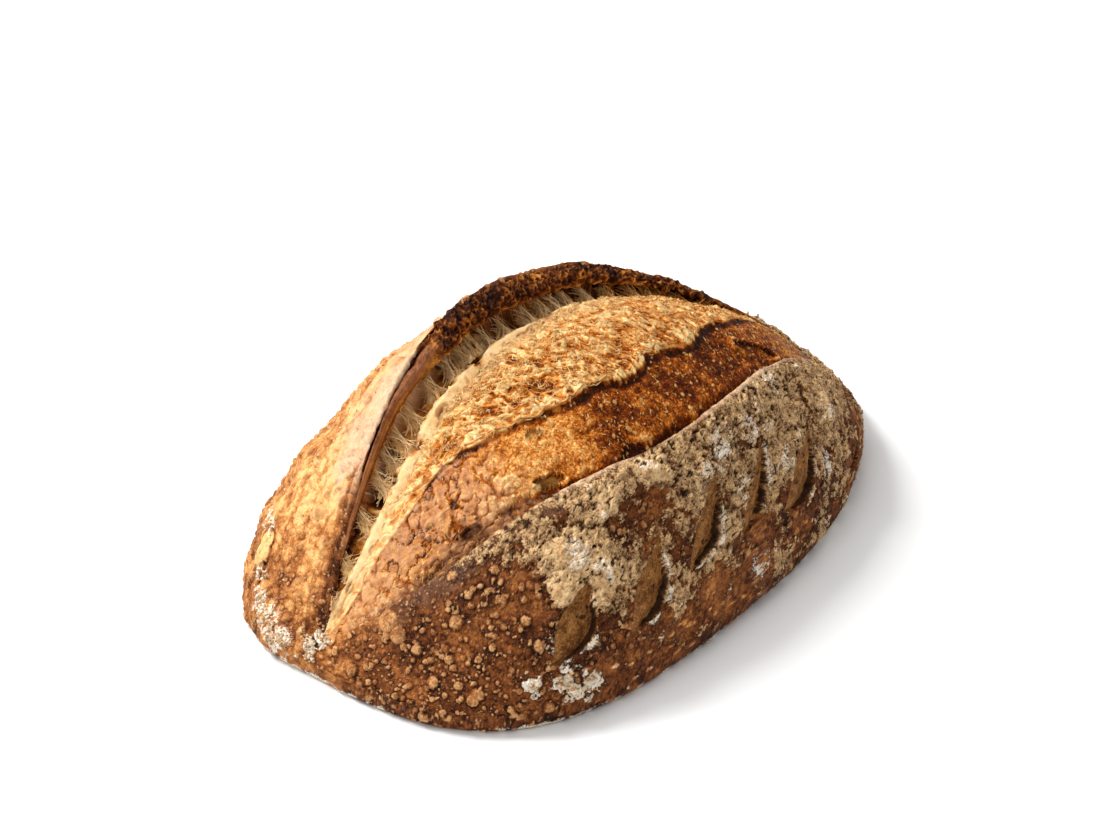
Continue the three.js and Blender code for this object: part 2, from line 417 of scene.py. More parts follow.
def make_mesh(name: str, points: Array, triangles: Array, normals: Array | None,
              masks: dict[str, Array], material: bpy.types.Material) -> bpy.types.Object:
    """Joins points that coincide, drops empty triangles and makes an object.

    Args:
        name: the piece's name.
        points: shape (n, 3), in metres.
        triangles: shape (m, 3).
        normals: one for each point, or None to let the faces decide.
        masks: a value or a vector for each point, by attribute name.
        material: the piece's material.

    Returns:
        The new object, smooth shaded, at the origin.
    """
    placed = np.round(points * 1e7)
    _, first, where = np.unique(placed, axis=0, return_index=True, return_inverse=True)
    triangles = where.reshape(-1)[triangles]
    distinct = (triangles != np.roll(triangles, 1, axis=1)).all(axis=1)
    triangles = triangles[distinct]
    points = points[first]

    mesh = bpy.data.meshes.new(name)
    mesh.vertices.add(len(points))
    mesh.vertices.foreach_set("co", points.astype(np.float32).ravel())
    mesh.loops.add(triangles.size)
    mesh.loops.foreach_set("vertex_index", triangles.astype(np.int32).ravel())
    mesh.polygons.add(len(triangles))
    mesh.polygons.foreach_set("loop_start", np.arange(0, triangles.size, 3, dtype=np.int32))
    mesh.polygons.foreach_set("use_smooth", np.ones(len(triangles), dtype=bool))
    mesh.update(calc_edges=True)
    for key, mask in masks.items():
        kind, field_name = ("FLOAT_VECTOR", "vector") if mask.ndim == 2 else ("FLOAT", "value")
        layer = mesh.attributes.new(key, kind, "POINT")
        layer.data.foreach_set(field_name, mask[first].astype(np.float32).ravel())
    if normals is not None:
        mesh.normals_split_custom_set_from_vertices(normals[first].astype(np.float32))
    mesh.materials.append(material)
    piece = bpy.data.objects.new(name, mesh)
    bpy.context.scene.collection.objects.link(piece)
    return piece


def tubes(paths: Array, radii: Array, sides: int, flatness: float) -> tuple[Array, Array]:
    """Closed tubes along many short paths at once: a ring round each point, a tip at each end.

    A ring's point is path + radius * (cos * aside + flatness * sin * above).

    Args:
        paths: shape (tubes, rings, 3).
        radii: shape (tubes, rings).
        sides: points in a ring.
        flatness: height of a ring over its width.

    Returns:
        points (n, 3), ordered tube by tube, and triangles (m, 3).
    """
    count, rings = radii.shape
    ahead = unit(np.gradient(paths, axis=1))
    aside = unit(np.cross(ahead, np.array([0.05, 0.02, 1.0])))
    above = np.cross(aside, ahead)
    turn = 2.0 * math.pi * np.arange(sides) / sides
    spread = np.cos(turn)[:, None] * aside[:, :, None]
    spread = spread + flatness * np.sin(turn)[:, None] * above[:, :, None]
    walls = paths[:, :, None] + radii[..., None, None] * spread
    points = np.concatenate([walls.reshape(count, -1, 3), paths[:, :1], paths[:, -1:]], axis=1)

    index = np.arange(rings * sides).reshape(rings, sides)
    beside = np.roll(index, -1, axis=1)
    near, far = index[:-1].ravel(), index[1:].ravel()
    near_side, far_side = beside[:-1].ravel(), beside[1:].ravel()
    start, end = rings * sides, rings * sides + 1
    faces = np.concatenate([
        np.stack([near, far, far_side], axis=-1),
        np.stack([near, far_side, near_side], axis=-1),
        np.stack([np.full(sides, start), index[0], beside[0]], axis=-1),
        np.stack([np.full(sides, end), beside[-1], index[-1]], axis=-1),
    ])
    step = np.arange(count)[:, None, None] * (rings * sides + 2)
    return points.reshape(-1, 3), (faces[None] + step).reshape(-1, 3)


@dataclass(frozen=True)
class Strewer:
    """Makes a piece of many small tubes, over the loaf's middle and in one material."""

    middle: Array
    material: bpy.types.Material
    sides: int = 4
    flatness: float = 0.6

    def build(self, name: str, paths: Array, radii: Array, masks: dict[str, Array]) -> bpy.types.Object:
        """Joins the tubes into one piece.

        Args:
            name: the piece's name.
            paths: shape (tubes, rings, 3), in millimetres.
            radii: shape (tubes, rings).
            masks: a value or a vector for each tube, by attribute name.

        Returns:
            The new object, at the origin.
        """
        points, triangles = tubes(paths, radii, self.sides, self.flatness)
        each = radii.shape[1] * self.sides + 2
        spread = {key: np.repeat(values, each, axis=0) for key, values in masks.items()}
        return make_mesh(name, (points - self.middle) * MM, triangles, None, spread, self.material)


# --------------------------------------------------------------------------
# Shader maths
# --------------------------------------------------------------------------

class Wire:
    """A shader socket with arithmetic: an expression on it adds the Math nodes."""

    def __init__(self, tree: bpy.types.NodeTree, socket: bpy.types.NodeSocket) -> None:
        """Wraps one output socket of a node tree."""
        self.tree = tree
        self.socket = socket

    def math(self, operation: str, *others: "Wire | float", swap: bool = False) -> "Wire":
        """One Math node on this value and others.

        Args:
            operation: the Math node's operation.
            others: the remaining inputs.
            swap: True where this value is the second input.

        Returns:
            The node's output.
        """
        node = self.tree.nodes.new("ShaderNodeMath")
        node.operation = operation
        inputs = [self, *others]
        if swap:
            inputs.reverse()
        for slot, value in zip(node.inputs, inputs):
            if isinstance(value, Wire):
                self.tree.links.new(value.socket, slot)
            else:
                slot.default_value = value
        return Wire(self.tree, node.outputs[0])

    def __add__(self, other: "Wire | float") -> "Wire":
        """This value plus another."""
        return self.math("ADD", other)

    __radd__ = __add__

    def __mul__(self, other: "Wire | float") -> "Wire":
        """This value times another."""
        return self.math("MULTIPLY", other)

    __rmul__ = __mul__

    def __sub__(self, other: "Wire | float") -> "Wire":
        """This value minus another."""
        return self.math("SUBTRACT", other)

    def __rsub__(self, other: float) -> "Wire":
        """A number minus this value."""
        return self.math("SUBTRACT", other, swap=True)

    def clamped(self) -> "Wire":
        """This value held between 0 and 1."""
        node = self.tree.nodes.new("ShaderNodeClamp")
        self.tree.links.new(self.socket, node.inputs[0])
        return Wire(self.tree, node.outputs[0])


def linear(colour: Colour) -> tuple[float, float, float, float]:
    """A colour given as 0-255 screen values, as linear light with alpha 1."""
    channels = [c / 255.0 for c in colour]
    light = [c / 12.92 if c <= 0.04045 else ((c + 0.055) / 1.055) ** 2.4 for c in channels]
    return light[0], light[1], light[2], 1.0


class Shader:
    """One material's node tree and the means to add to it."""

    def __init__(self, name: str) -> None:
        """Makes the material with a Principled surface."""
        self.material = bpy.data.materials.new(name)
        self.material.use_nodes = True
        self.tree = self.material.node_tree
        self.surface = self.tree.nodes["Principled BSDF"]
        self.place = self.node("ShaderNodeTexCoord", {}, {}, "Object")

    def node(self, kind: str, settings: dict[str, object], inputs: dict[str | int, object],
             output: str | int = 0) -> Wire:
        """Adds a node: its settings first, then the values and links of its sockets.

        Args:
            kind: the node's type.
            settings: attribute values; "stops" fills a colour ramp.
            inputs: a value or a Wire for each socket, by name or number.
            output: the socket that is returned.

        Returns:
            The output socket as a Wire.
        """
        node = self.tree.nodes.new(kind)
        for key, value in settings.items():
            if key == "stops":
                self._fill_ramp(node.color_ramp, value)
            else:
                setattr(node, key, value)
        for key, value in inputs.items():
            if isinstance(value, Wire):
                self.tree.links.new(value.socket, node.inputs[key])
            else:
                node.inputs[key].default_value = value
        return Wire(self.tree, node.outputs[output])

    @staticmethod
    def _fill_ramp(colour_ramp: bpy.types.ColorRamp, stops: list[tuple[float, Colour]]) -> None:
        """Sets a colour ramp's stops from positions and screen colours."""
        while len(colour_ramp.elements) < len(stops):
            colour_ramp.elements.new(0.5)
        for element, (position, colour) in zip(colour_ramp.elements, stops):
            element.position = position
            element.color = linear(colour)

    def mask(self, name: str) -> Wire:
        """A painted mask of the mesh."""
        return self.node("ShaderNodeAttribute", {"attribute_name": name}, {}, "Fac")

    def noise(self, size: float, detail: float = 3.0, stretch: Colour = (1.0, 1.0, 1.0)) -> Wire:
        """Noise from 0 to 1 of a grain size in millimetres, stretched along the object's axes."""
        scaled = self.node("ShaderNodeMapping", {}, {"Vector": self.place, "Scale": stretch})
        inputs = {"Vector": scaled, "Scale": 1.0 / (size * MM), "Detail": detail}
        return self.spread(self.node("ShaderNodeTexNoise", {}, inputs, 0))

    @staticmethod
    def spread(noise: Wire) -> Wire:
        """A noise's narrow range about a half, widened to 0 to 1."""
        return ((noise - 0.5) * 2.6 + 0.5).clamped()

    def mix(self, low: Wire | tuple, high: Wire | tuple, share: Wire, mode: str = "MIX") -> Wire:
        """Mixes two colours by a value."""
        settings = {"data_type": "RGBA", "blend_type": mode}
        return self.node("ShaderNodeMix", settings, {0: share, 6: low, 7: high}, 2)

    def feed(self, socket: str, value: Wire | float | tuple) -> None:
        """Sets or links one of the surface's own sockets."""
        if isinstance(value, Wire):
            self.tree.links.new(value.socket, self.surface.inputs[socket])
        else:
            self.surface.inputs[socket].default_value = value

    def bump(self, heights: list[tuple[Wire, float]]) -> None:
        """Stacks bump nodes, each a height and its depth in millimetres, into the normal."""
        normal = None
        for height, depth in heights:
            inputs = {"Height": height, "Distance": depth * MM, "Strength": 1.0}
            if normal is not None:
                inputs["Normal"] = normal
            normal = self.node("ShaderNodeBump", {}, inputs, "Normal")
        self.feed("Normal", normal)


@dataclass(frozen=True)
class Coat:
    """A colour laid over a finish where a mask says so, darker where the grain is low."""

    mask: str
    colour: Colour
    shade: Colour
    speckle: float = 0.5
    crisp: float = 2.5
    strength: float = 1.0


@dataclass(frozen=True)
class BakedFinish:
    """A baked surface: browning from a ramp, coats over it, and a fine grain."""

    name: str
    browning_and_shade: tuple[tuple[float, Colour], ...]
    coats: tuple[Coat, ...]
    roughness: float = 0.62
    grain: float = 0.7
    grain_depth: float = 0.12
    mottle: float = 0.26
    shine: float = 0.07
    fibrous: bool = False

    def make(self) -> bpy.types.Material:
        """Builds the material: ramp of the toast mask, coats in order, gloss and bump.

        A fibrous finish draws its fine grain along the flow vectors painted on the mesh.

        Returns:
            The new material.
        """
        shader = Shader(self.name)
        fine = shader.noise(self.grain, 5.0)
        if self.fibrous:
            flow = shader.node("ShaderNodeAttribute", {"attribute_name": "flow"}, {}, "Vector")
            inputs = {"Vector": flow, "Scale": 1.0, "Detail": 4.0, "Distortion": 0.6}
            fine = shader.spread(shader.node("ShaderNodeTexNoise", {}, inputs, 0))
        broad = shader.noise(self.grain * 5.0, 4.0)
        # The mask holds the baked colour together with the painted shade and painted highlights that
        # the pieces lay into it.
        toast_and_shade = shader.mask("toast_and_shade") + (broad - 0.5) * self.mottle * 0.4 + (fine - 0.5) * self.mottle
        stops = [(position, colour) for position, colour in self.browning_and_shade]
        colour = shader.node("ShaderNodeValToRGB", {"stops": stops}, {0: toast_and_shade.clamped()}, 0)
        tone = ((fine + broad - 1.0) * 0.9 + 0.5).clamped()
        for coat in self.coats:
            reach = shader.mask(coat.mask) - 0.5 + (fine - 0.5) * (coat.speckle * 0.8)
            share = (reach * coat.crisp + 0.5).clamped() * coat.strength
            paint = shader.mix(linear(coat.shade), linear(coat.colour), tone)
            colour = shader.mix(colour, paint, share)
        shader.feed("Base Color", colour)
        shader.feed("Roughness", (self.roughness + (fine - 0.5) * 0.2).clamped())
        shader.feed("Specular IOR Level", self.shine)
        pores = shader.noise(self.grain * 0.45, 2.0)
        shader.bump([(fine, self.grain_depth), (pores, self.grain_depth * 0.5)])
        return shader.material


class Finish(Enum):
    """The loaf's finishes."""

    CRUST = BakedFinish(
        name="baked_crust",
        browning_and_shade=((0.0, (242, 194, 128)), (0.2, (212, 146, 82)), (0.4, (164, 100, 50)),
                  (0.6, (116, 64, 30)), (0.8, (66, 30, 12)), (1.0, (26, 10, 4))),
        coats=(
            Coat("dusk", (132, 98, 76), (66, 40, 28), 0.9, 2.2, 0.7),
            Coat("blister", (238, 180, 120), (150, 90, 46), 0.4, 1.8, 0.8),
            Coat("leaf", (180, 124, 68), (98, 56, 20), 0.3, 3.0, 0.9),
            Coat("flour", (238, 194, 138), (92, 54, 28), 1.0, 2.2, 0.9),
            # Thick pale flour, and painted highlights on the tops of the floured grains.
            Coat("dune", (246, 210, 158), (196, 150, 100), 0.6, 2.0, 0.88),
            Coat("white", (255, 248, 234), (226, 204, 170), 0.7, 2.4, 0.9),
            # Dark pits, cracks and specks, and painted shade under the leaf cuts' undercut lower edges.
            Coat("pits_and_undercut_shade", (50, 26, 12), (20, 9, 4), 0.7, 2.8, 0.94),
            # Pale crust by the ear, in the back's cuts and on bare edges, with a painted highlight on
            # the upper flank by the ear.
            Coat("cream", (232, 200, 168), (206, 158, 122), 0.4, 1.6, 0.85),
        ),
    )
    BLOOM = BakedFinish(
        name="torn_bloom",
        browning_and_shade=((0.0, (255, 226, 160)), (0.2, (250, 180, 96)), (0.42, (204, 114, 30)),
                  (0.62, (140, 62, 6)), (0.8, (84, 30, 2)), (1.0, (40, 12, 1))),
        coats=(
            Coat("rosy", (252, 196, 146), (184, 108, 66), 0.8, 1.8, 0.66),
            Coat("fleck", (242, 192, 122), (206, 146, 78), 0.3, 2.2, 0.9),
            Coat("cream", (255, 222, 166), (238, 180, 110), 0.4, 2.0, 0.85),
            Coat("hollow", (226, 170, 90), (130, 76, 26), 0.5, 2.2, 0.85),
            Coat("dusk", (160, 112, 78), (102, 62, 40), 0.6, 1.6, 0.74),
        ),
        roughness=0.42, grain=0.6, grain_depth=0.26, mottle=0.46, shine=0.07, fibrous=True,
    )
    CRUMB = BakedFinish(
        name="open_crumb",
        browning_and_shade=((0.0, (255, 228, 180)), (0.25, (244, 194, 120)), (0.45, (210, 138, 58)),
                  (0.62, (136, 72, 20)), (0.8, (62, 26, 8)), (1.0, (14, 5, 2))),
        coats=(
            Coat("band", (176, 118, 82), (100, 52, 30), 0.3, 1.6, 0.85),
            Coat("cream", (255, 226, 176), (240, 188, 120), 0.4, 2.0, 0.7),
        ),
        roughness=0.5, grain=0.5, grain_depth=0.12, mottle=0.16, shine=0.08,
    )


# --------------------------------------------------------------------------
# Crust: flanks, nose and underside
# --------------------------------------------------------------------------

@dataclass(frozen=True)
class Spots:
    """Places on the loaf, each x, y, z and a reach, in millimetres."""

    places: tuple[tuple[float, float, float, float], ...]

    def cover(self, p: Array) -> Array:
        """Bell curve of the distance from the nearest spot: exp(-(d / reach)^2)."""
        covers = []
        for x, y, z, reach in self.places:
            away = ((p - np.array([x, y, z])) ** 2).sum(-1)
            covers.append(np.exp(-away / reach**2))
        return np.max(covers, axis=0)


@dataclass(frozen=True)
class LeafRelief:
    """What the leaf cuts do at each point: depth in millimetres, then covers from 0 to 1."""

    depth: Array
    face: Array
    # A painted shade under the undercut lower edge, and a fainter dark line along the upper edge.
    lip: Array
    brim: Array


@dataclass(frozen=True)
class LeafCuts:
    """Leaf-shaped cuts, each x, z, slant, width and length: undercut along their lower edge."""

    places: tuple[tuple[float, float, float, float, float], ...]
    depth: float = 3.8
    bow: float = 0.35
    brim_height: float = 0.9

    def relief(self, x: Array, z: Array) -> LeafRelief:
        """The cuts over a flank.

        Along and aside are the turned coordinates of a leaf over its half sizes. Inside is
        where |aside| < 1 - |along|^1.7, and the cut deepens from one edge to the other.

        Args:
            x: places along the loaf.
            z: heights.

        Returns:
            The depth, and the covers of the cut face, its dark edges (a painted shade under the
            undercut lower edge) and its pale brim.
        """
        depth, face, lip, pale = (np.zeros(x.shape) for _ in range(4))
        for middle_x, middle_z, slant, width, length in self.places:
            half = length / 2.0
            dx, dz = x - middle_x, z - middle_z
            along = (dx * math.cos(slant) + dz * math.sin(slant)) / half
            aside = (dx * math.sin(slant) - dz * math.cos(slant)) / (width / 2)
            aside = aside - self.bow * (1.0 - along**2) + self.bow * 0.5
            within = np.abs(along) < 1.0
            reach = np.maximum(1.0 - np.abs(along) ** 1.7, 1e-3)
            share = aside / reach
            inside = ramp(share, -1.05, -0.85) * ramp(share, 1.06, 0.88) * within
            fall = 0.35 * ramp(share, -1.05, -0.6) + 0.65 * ramp(share, -0.1, 0.85)
            depth = np.maximum(depth, self.depth * inside * fall * np.sqrt(reach))
            face = np.maximum(face, inside)
            # Painted shade: a dark line under the overhanging lower edge of the cut.
            undercut_shade_line = ramp(share, 0.8, 0.9) * ramp(share, 1.06, 0.98) * ramp(reach, 0.2, 0.5) * within
            high_line = 0.5 * ramp(share, -1.1, -1.0) * ramp(share, -0.85, -0.95) * within
            lip = np.maximum(lip, np.maximum(undercut_shade_line, high_line))
            pale = np.maximum(pale, ramp(share, 1.0, 1.15) * ramp(share, 1.9, 1.2) * within)
            brim = ramp(share, 0.95, 1.1) * ramp(share, 2.2, 1.2)
            brim = brim + 0.6 * ramp(share, -0.95, -1.1) * ramp(share, -2.2, -1.2)
            depth = depth - self.brim_height * brim * within * np.sqrt(reach)
        return LeafRelief(depth, face, lip, pale)


class CrustSite:
    """Points of the crust, where they lie, and the noises that its parts share."""

    def __init__(self, p: Array, to_edge: Array, ear_side: Array) -> None:
        """Works out the shared noises and regions.

        Args:
            p: points, shape (rows, columns, 3).
            to_edge: distance to the slash's edge in plan.
            ear_side: True where that edge is the ear's.
        """
        self.p, self.to_edge, self.ear_side = p, to_edge, ear_side
        self.x, self.y, self.z = p[..., 0], p[..., 1], p[..., 2]
        self.broad = layered_noise(p, 24.0, 41, 3)
        self.patchy = layered_noise(p, 8.0, 42, 3)
        self.grain = layered_noise(p, 2.6, 43, 3)
        self.fleck = layered_noise(p, 1.25, 44, 2)
        self.clods = layered_noise(p, 5.5, 45, 3)
        sway = np.stack([self.patchy, self.grain, self.patchy * 0.6 + self.grain], axis=-1)
        self.shifted = p + sway * 3.0
        lengthwise = np.stack([self.x / 5.0, to_edge, self.y * 0.0], axis=-1)
        self.strands = layered_noise(lengthwise + 0.5 * self.patchy[..., None], 1.9, 114, 3)
        self.front = ramp(-self.y, -6.0, 22.0)
        self.left = 1.0 - self.front

    def on_ear(self, cover: Array) -> Array:
        """A cover kept on the ear's side alone."""
        return np.where(self.ear_side, cover, 0.0)

    def ear_near(self) -> Array:
        """Closeness to the ear's edge, from 0 to 1, fading out at the nose."""
        return self.on_ear(ramp(self.to_edge, 30.0, 2.0)) * ramp(self.x, -134.0, -108.0)


class FlourCover:
    """Flour on the front flank: how much lies there, with its dunes, pits and cracks."""

    def __init__(self, site: CrustSite, bare_places: Spots, dunes: Spots) -> None:
        """Lays flour behind a slanting line and above the lowest band, less in bare places.

        Args:
            site: the points.
            bare_places: where crust shows through.
            dunes: where flour lies thickest.
        """
        behind = ramp(site.x + 0.9 * (site.z - 49.0) + 12.0 * site.broad, -108.0, -84.0)
        above = ramp(site.z + 7.0 * site.patchy, 13.0, 34.0)
        high = np.maximum(above, 0.45 * ramp(site.x, -66.0, -30.0))
        bare = bare_places.cover(site.shifted) * site.front
        self.dune = dunes.cover(site.shifted) * site.front
        amount = site.front * behind * high * (0.98 + 0.3 * site.broad)
        amount = amount - 0.75 * bare + 0.55 * self.dune
        self.amount = amount - 0.3 * site.front * ramp(layered_noise(site.p, 17.0, 47, 2), 0.1, 0.7)
        self.held = np.clip(self.amount, 0.0, 1.0)
        ragged = 0.3 * site.patchy + 0.32 * site.clods + 0.36 * site.grain + 0.3 * site.fleck
        self.cover = ramp(self.amount - 0.56 + ragged, -0.2, 0.3)
        self.thick = ramp(self.amount - 1.0 + 0.7 * ragged, -0.15, 0.35)
        dusty = ramp(site.broad + 0.5 * site.patchy + 0.4 * site.grain, 0.7, 1.1)
        self.dusting = (1.0 - site.front) * dusty * 0.5
        thin = np.clip(1.2 - 1.2 * self.dune, 0.0, 1.0)
        self.pits = ramp(-site.fleck - 0.4 * site.grain, 0.3, 0.62) * thin
        self.cracks = ramp(creases(site.p, 6.0, 111, 2), 0.84, 0.97) * ramp(site.grain, -0.3, 0.4)

    def relief(self, site: CrustSite) -> Array:
        """Height of the caked flour, in millimetres."""
        cake, _ = Bubbles(3.6, 1.0, 2.2, 0.9, 101).field(site.p)
        caked = 0.6 * cap(cake) + 0.6 * site.grain + 0.4 * site.fleck
        caked = caked - 0.9 * self.pits - 0.8 * self.cracks
        return self.held * (0.8 * caked + 0.9 * site.clods + 0.3 * site.patchy)


class BlisterCover:
    """Blisters: crowded on the bare crust, and only soft grains in the flour."""

    def __init__(self, site: CrustSite, amount: Array) -> None:
        """Strews three sizes of bubble, and flat streaks in the lowest band.

        Args:
            site: the points.
            amount: how much flour lies on each.
        """
        self.free = np.clip(1.0 - amount * 0.9, 0.12, 1.0)
        self.low_band = ramp(site.z, 28.0, 15.0) * ramp(site.x, -112.0, -84.0) * site.front
        self.swell = self.free * (1.0 - 0.75 * self.low_band)
        calm = np.where(site.ear_side, 0.7, 1.0)
        crowd = np.clip(self.free * 1.3, 0.3, 1.0)
        skewed = site.p + np.stack([site.grain, site.fleck, site.grain], axis=-1) * 0.35
        self.big, self.big_size = Bubbles(6.6, 1.3, 2.9, 0.75, 61).field(skewed, self.free * calm)
        self.mid, self.mid_size = Bubbles(2.7, 0.7, 1.5, 1.0, 71).field(skewed, crowd)
        self.small, _ = Bubbles(1.5, 0.32, 0.8, 1.0, 81).field(skewed)
        self.streak, _ = Bubbles(2.6, 0.5, 1.3, 0.85, 91).field(site.p * np.array([0.4, 0.8, 1.0]))

    def relief(self) -> Array:
        """Height of the blisters and streaks, in millimetres."""
        high = cap(self.big)
        blisters = 0.55 * self.big_size * high + 0.7 * self.mid_size * cap(self.mid) * (1.0 - high)
        streaks = self.low_band * 0.45 * cap(self.streak)
        return self.swell * (blisters + 0.26 * cap(self.small)) + streaks

    def grains(self) -> Array:
        """Height of the smaller blisters where flour covers them, in millimetres."""
        return self.mid_size * cap(self.mid) + 0.8 * cap(self.small)

    def rings(self) -> Array:
        """Dark rings round the blisters, from 0 to 1: painted shade where they meet the crust."""
        return np.maximum(0.9 * wall(self.big), np.maximum(wall(self.mid), 0.5 * wall(self.small)))

    def tops(self) -> Array:
        """Pale tops of the blisters, from 0 to 1."""
        lesser = np.maximum(ramp(self.mid, -0.05, 0.7), 0.8 * ramp(self.small, 0.0, 0.6))
        return np.maximum(ramp(self.big, -0.05, 0.6), lesser)


@dataclass(frozen=True)
class CrustWear:
    """What baking, flour and the blade left on the crust, as heights and masks."""

    front_leaves: LeafCuts = LeafCuts((
        (-91.0, 32.5, 0.8, 10.0, 31.0), (-60.5, 34.5, 0.8, 13.0, 34.0),
        (-26.0, 43.0, 0.68, 12.0, 37.0), (4.0, 42.0, 0.66, 9.0, 40.0),
        (33.0, 35.0, 0.5, 14.0, 35.0), (84.0, 17.0, 0.2, 5.0, 26.0)), depth=3.0)
    back_leaves: LeafCuts = LeafCuts((
        (-72.0, 36.0, 0.72, 9.0, 32.0), (-36.0, 42.0, 0.72, 9.0, 29.0), (2.0, 43.0, 0.72, 9.0, 27.0),
        (40.0, 39.0, 0.72, 9.0, 30.0), (76.0, 29.0, 0.72, 9.0, 32.0)), depth=2.6)
    bare_places: Spots = Spots((
        (-62.0, -63.0, 55.0, 9.0), (-50.0, -65.0, 56.0, 11.0), (-77.0, -49.0, 60.0, 5.0),
        (-70.0, -73.0, 28.0, 9.0), (-40.0, -75.0, 41.0, 8.0), (-8.0, -80.0, 26.0, 10.0),
        (-100.0, -57.0, 33.0, 9.0), (22.0, -77.0, 30.0, 8.0)))
    dunes: Spots = Spots((
        (-81.0, -57.0, 52.0, 7.0), (-76.0, -66.0, 45.0, 7.0), (-88.0, -60.0, 42.0, 6.0),
        (-39.0, -58.0, 65.0, 6.0), (68.0, -59.0, 45.0, 5.0), (-59.0, -57.0, 63.0, 6.0)))
    white_places: Spots = Spots((
        (-4.0, -63.0, 61.0, 5.5), (15.0, -63.0, 60.0, 4.5), (53.0, -72.0, 30.0, 4.5),
        (-2.0, -81.0, 18.0, 4.5), (-2.0, -73.0, 45.0, 4.5), (-98.0, -66.0, 27.0, 4.5)))
    chip_places: Spots = Spots((
        (-110.0, -63.0, 17.0, 5.0), (-101.0, -69.0, 17.0, 5.0), (-91.0, -74.0, 14.0, 6.0),
        (-97.0, -72.0, 12.0, 5.0), (-134.0, 15.0, 10.0, 5.0), (-131.0, 12.0, 15.0, 4.0)))
    hollows: Spots = Spots((
        (-70.0, 60.0, 58.0, 17.0), (-92.0, 67.0, 38.0, 8.0), (-54.0, 34.0, 94.0, 15.0),
        (-123.0, 56.0, 15.0, 18.0)))
    hollow_depth: float = 3.4
    shaved: Spots = Spots(((-115.5, 56.0, 24.0, 4.6), (-113.5, 57.0, 28.0, 4.2)))
    smears: Spots = Spots((
        (-132.0, 37.0, 12.0, 4.4), (-129.0, 46.0, 13.0, 4.0), (-135.0, 29.0, 9.0, 4.4),
        (-122.0, 52.0, 19.0, 3.4), (-104.0, 64.0, 30.0, 3.4), (-107.0, 58.0, 33.0, 2.6)))
    twins: Spots = Spots(((-122.5, -11.5, 27.5, 3.9), (-124.5, -17.0, 25.5, 3.3)))
    twin_height: float = 1.5

    def __call__(self, p: Array, to_edge: Array, ear_side: Array) -> tuple[Array, dict[str, Array]]:
        """Relief and masks of the crust.

        Args:
            p: points, shape (rows, columns, 3).
            to_edge: distance to the slash's edge in plan.
            ear_side: True where that edge is the ear's.

        Returns:
            relief outward in millimetres, and a mask for each coat.
        """
        site = CrustSite(p, to_edge, ear_side)
        flour = FlourCover(site, self.bare_places, self.dunes)
        blisters = BlisterCover(site, flour.amount)
        cuts = self.cuts(site)
        chips = ramp(self.chip_places.cover(p) + 0.5 * site.grain + 0.4 * site.fleck, 0.55, 0.75)
        pared = self.shaved.cover(p + 0.5 * site.grain[..., None])
        relief = self.relief(site, flour, blisters, cuts, chips, pared)
        uncut = 1.0 - cuts.face
        masks = {
            "toast_and_shade": np.clip(self.toast_and_shade(site, flour, blisters, pared), 0.0, 1.0),
            "blister": self.blister(site, blisters) * uncut,
            "flour": np.clip(np.maximum(flour.cover, flour.dusting), 0.0, 1.0) * uncut,
            "white": np.clip(self.white(site, flour, blisters, cuts, chips), 0.0, 1.0)
            * (1.0 - 0.9 * cuts.face),
            "pits_and_undercut_shade": np.clip(self.pits_and_undercut_shade(site, flour, cuts), 0.0, 1.0),
            "leaf": cuts.face,
            "dune": np.clip(self.dune(site, flour, blisters), 0.0, 1.0) * uncut,
            "cream": self.cream(site, cuts),
            "dusk": ramp(to_edge + 4.0 * site.patchy + 2.0 * site.grain, 8.0, 1.0) * site.front
            * ramp(site.x, -30.0, -60.0) * 0.75,
        }
        return relief, masks

    def cuts(self, site: CrustSite) -> LeafRelief:
        """The leaf cuts of both flanks, a little bent by the crust's own noises."""
        x = site.x + 0.3 * site.grain + 0.9 * site.patchy
        z = site.z + 0.3 * site.grain - 0.7 * site.patchy
        fronts, backs = self.front_leaves.relief(x, z), self.back_leaves.relief(x, z)
        at_front = site.y < 0
        return LeafRelief(np.where(at_front, fronts.depth, backs.depth),
                          np.where(at_front, fronts.face, backs.face),
                          np.where(at_front, fronts.lip, backs.lip),
                          np.where(at_front, fronts.brim, backs.brim))

    def relief(self, site: CrustSite, flour: FlourCover, blisters: BlisterCover,
               cuts: LeafRelief, chips: Array, pared: Array) -> Array:
        """Height of the crust over its bare form.

        Args:
            site: the points.
            flour: the flour on them.
            blisters: the blisters on them.
            cuts: the leaf cuts.
            chips: cover of the flour chips, 0 to 1.
            pared: closeness to the shaved place, 0 to 1.

        Returns:
            relief outward in millimetres.
        """
        free = blisters.relief() + self.twin_height * ramp(self.twins.cover(site.p), 0.25, 0.6)
        relief = flour.relief(site) + free
        relief += 0.35 * flour.held * blisters.grains()
        grainy = 0.2 * site.grain * blisters.free
        relief += 1.7 * flour.dune + 0.4 * site.patchy + grainy + 0.3 * flour.cover
        relief += 0.45 * site.strands * site.ear_side * ramp(site.to_edge, 60.0, 20.0)

        along, aside = site.x * 0.75 + site.z * 0.66, site.x * 0.66 - site.z * 0.75
        blade = layered_noise(np.stack([along / 7.0, aside, site.y * 0.0], axis=-1), 1.1, 113, 2)
        relief = relief * (1.0 - 0.8 * cuts.face) + 0.2 * blade * cuts.face - cuts.depth
        relief += 0.7 * chips - self.hollow_depth * self.hollows.cover(site.p)
        shaved = ramp(pared, 0.3, 0.42)
        relief = relief * (1.0 - 0.8 * shaved) - 0.8 * shaved
        return relief * blend(np.where(site.ear_side, 0.6, 0.2), 1.0, ramp(site.to_edge, 0.6, 3.4))

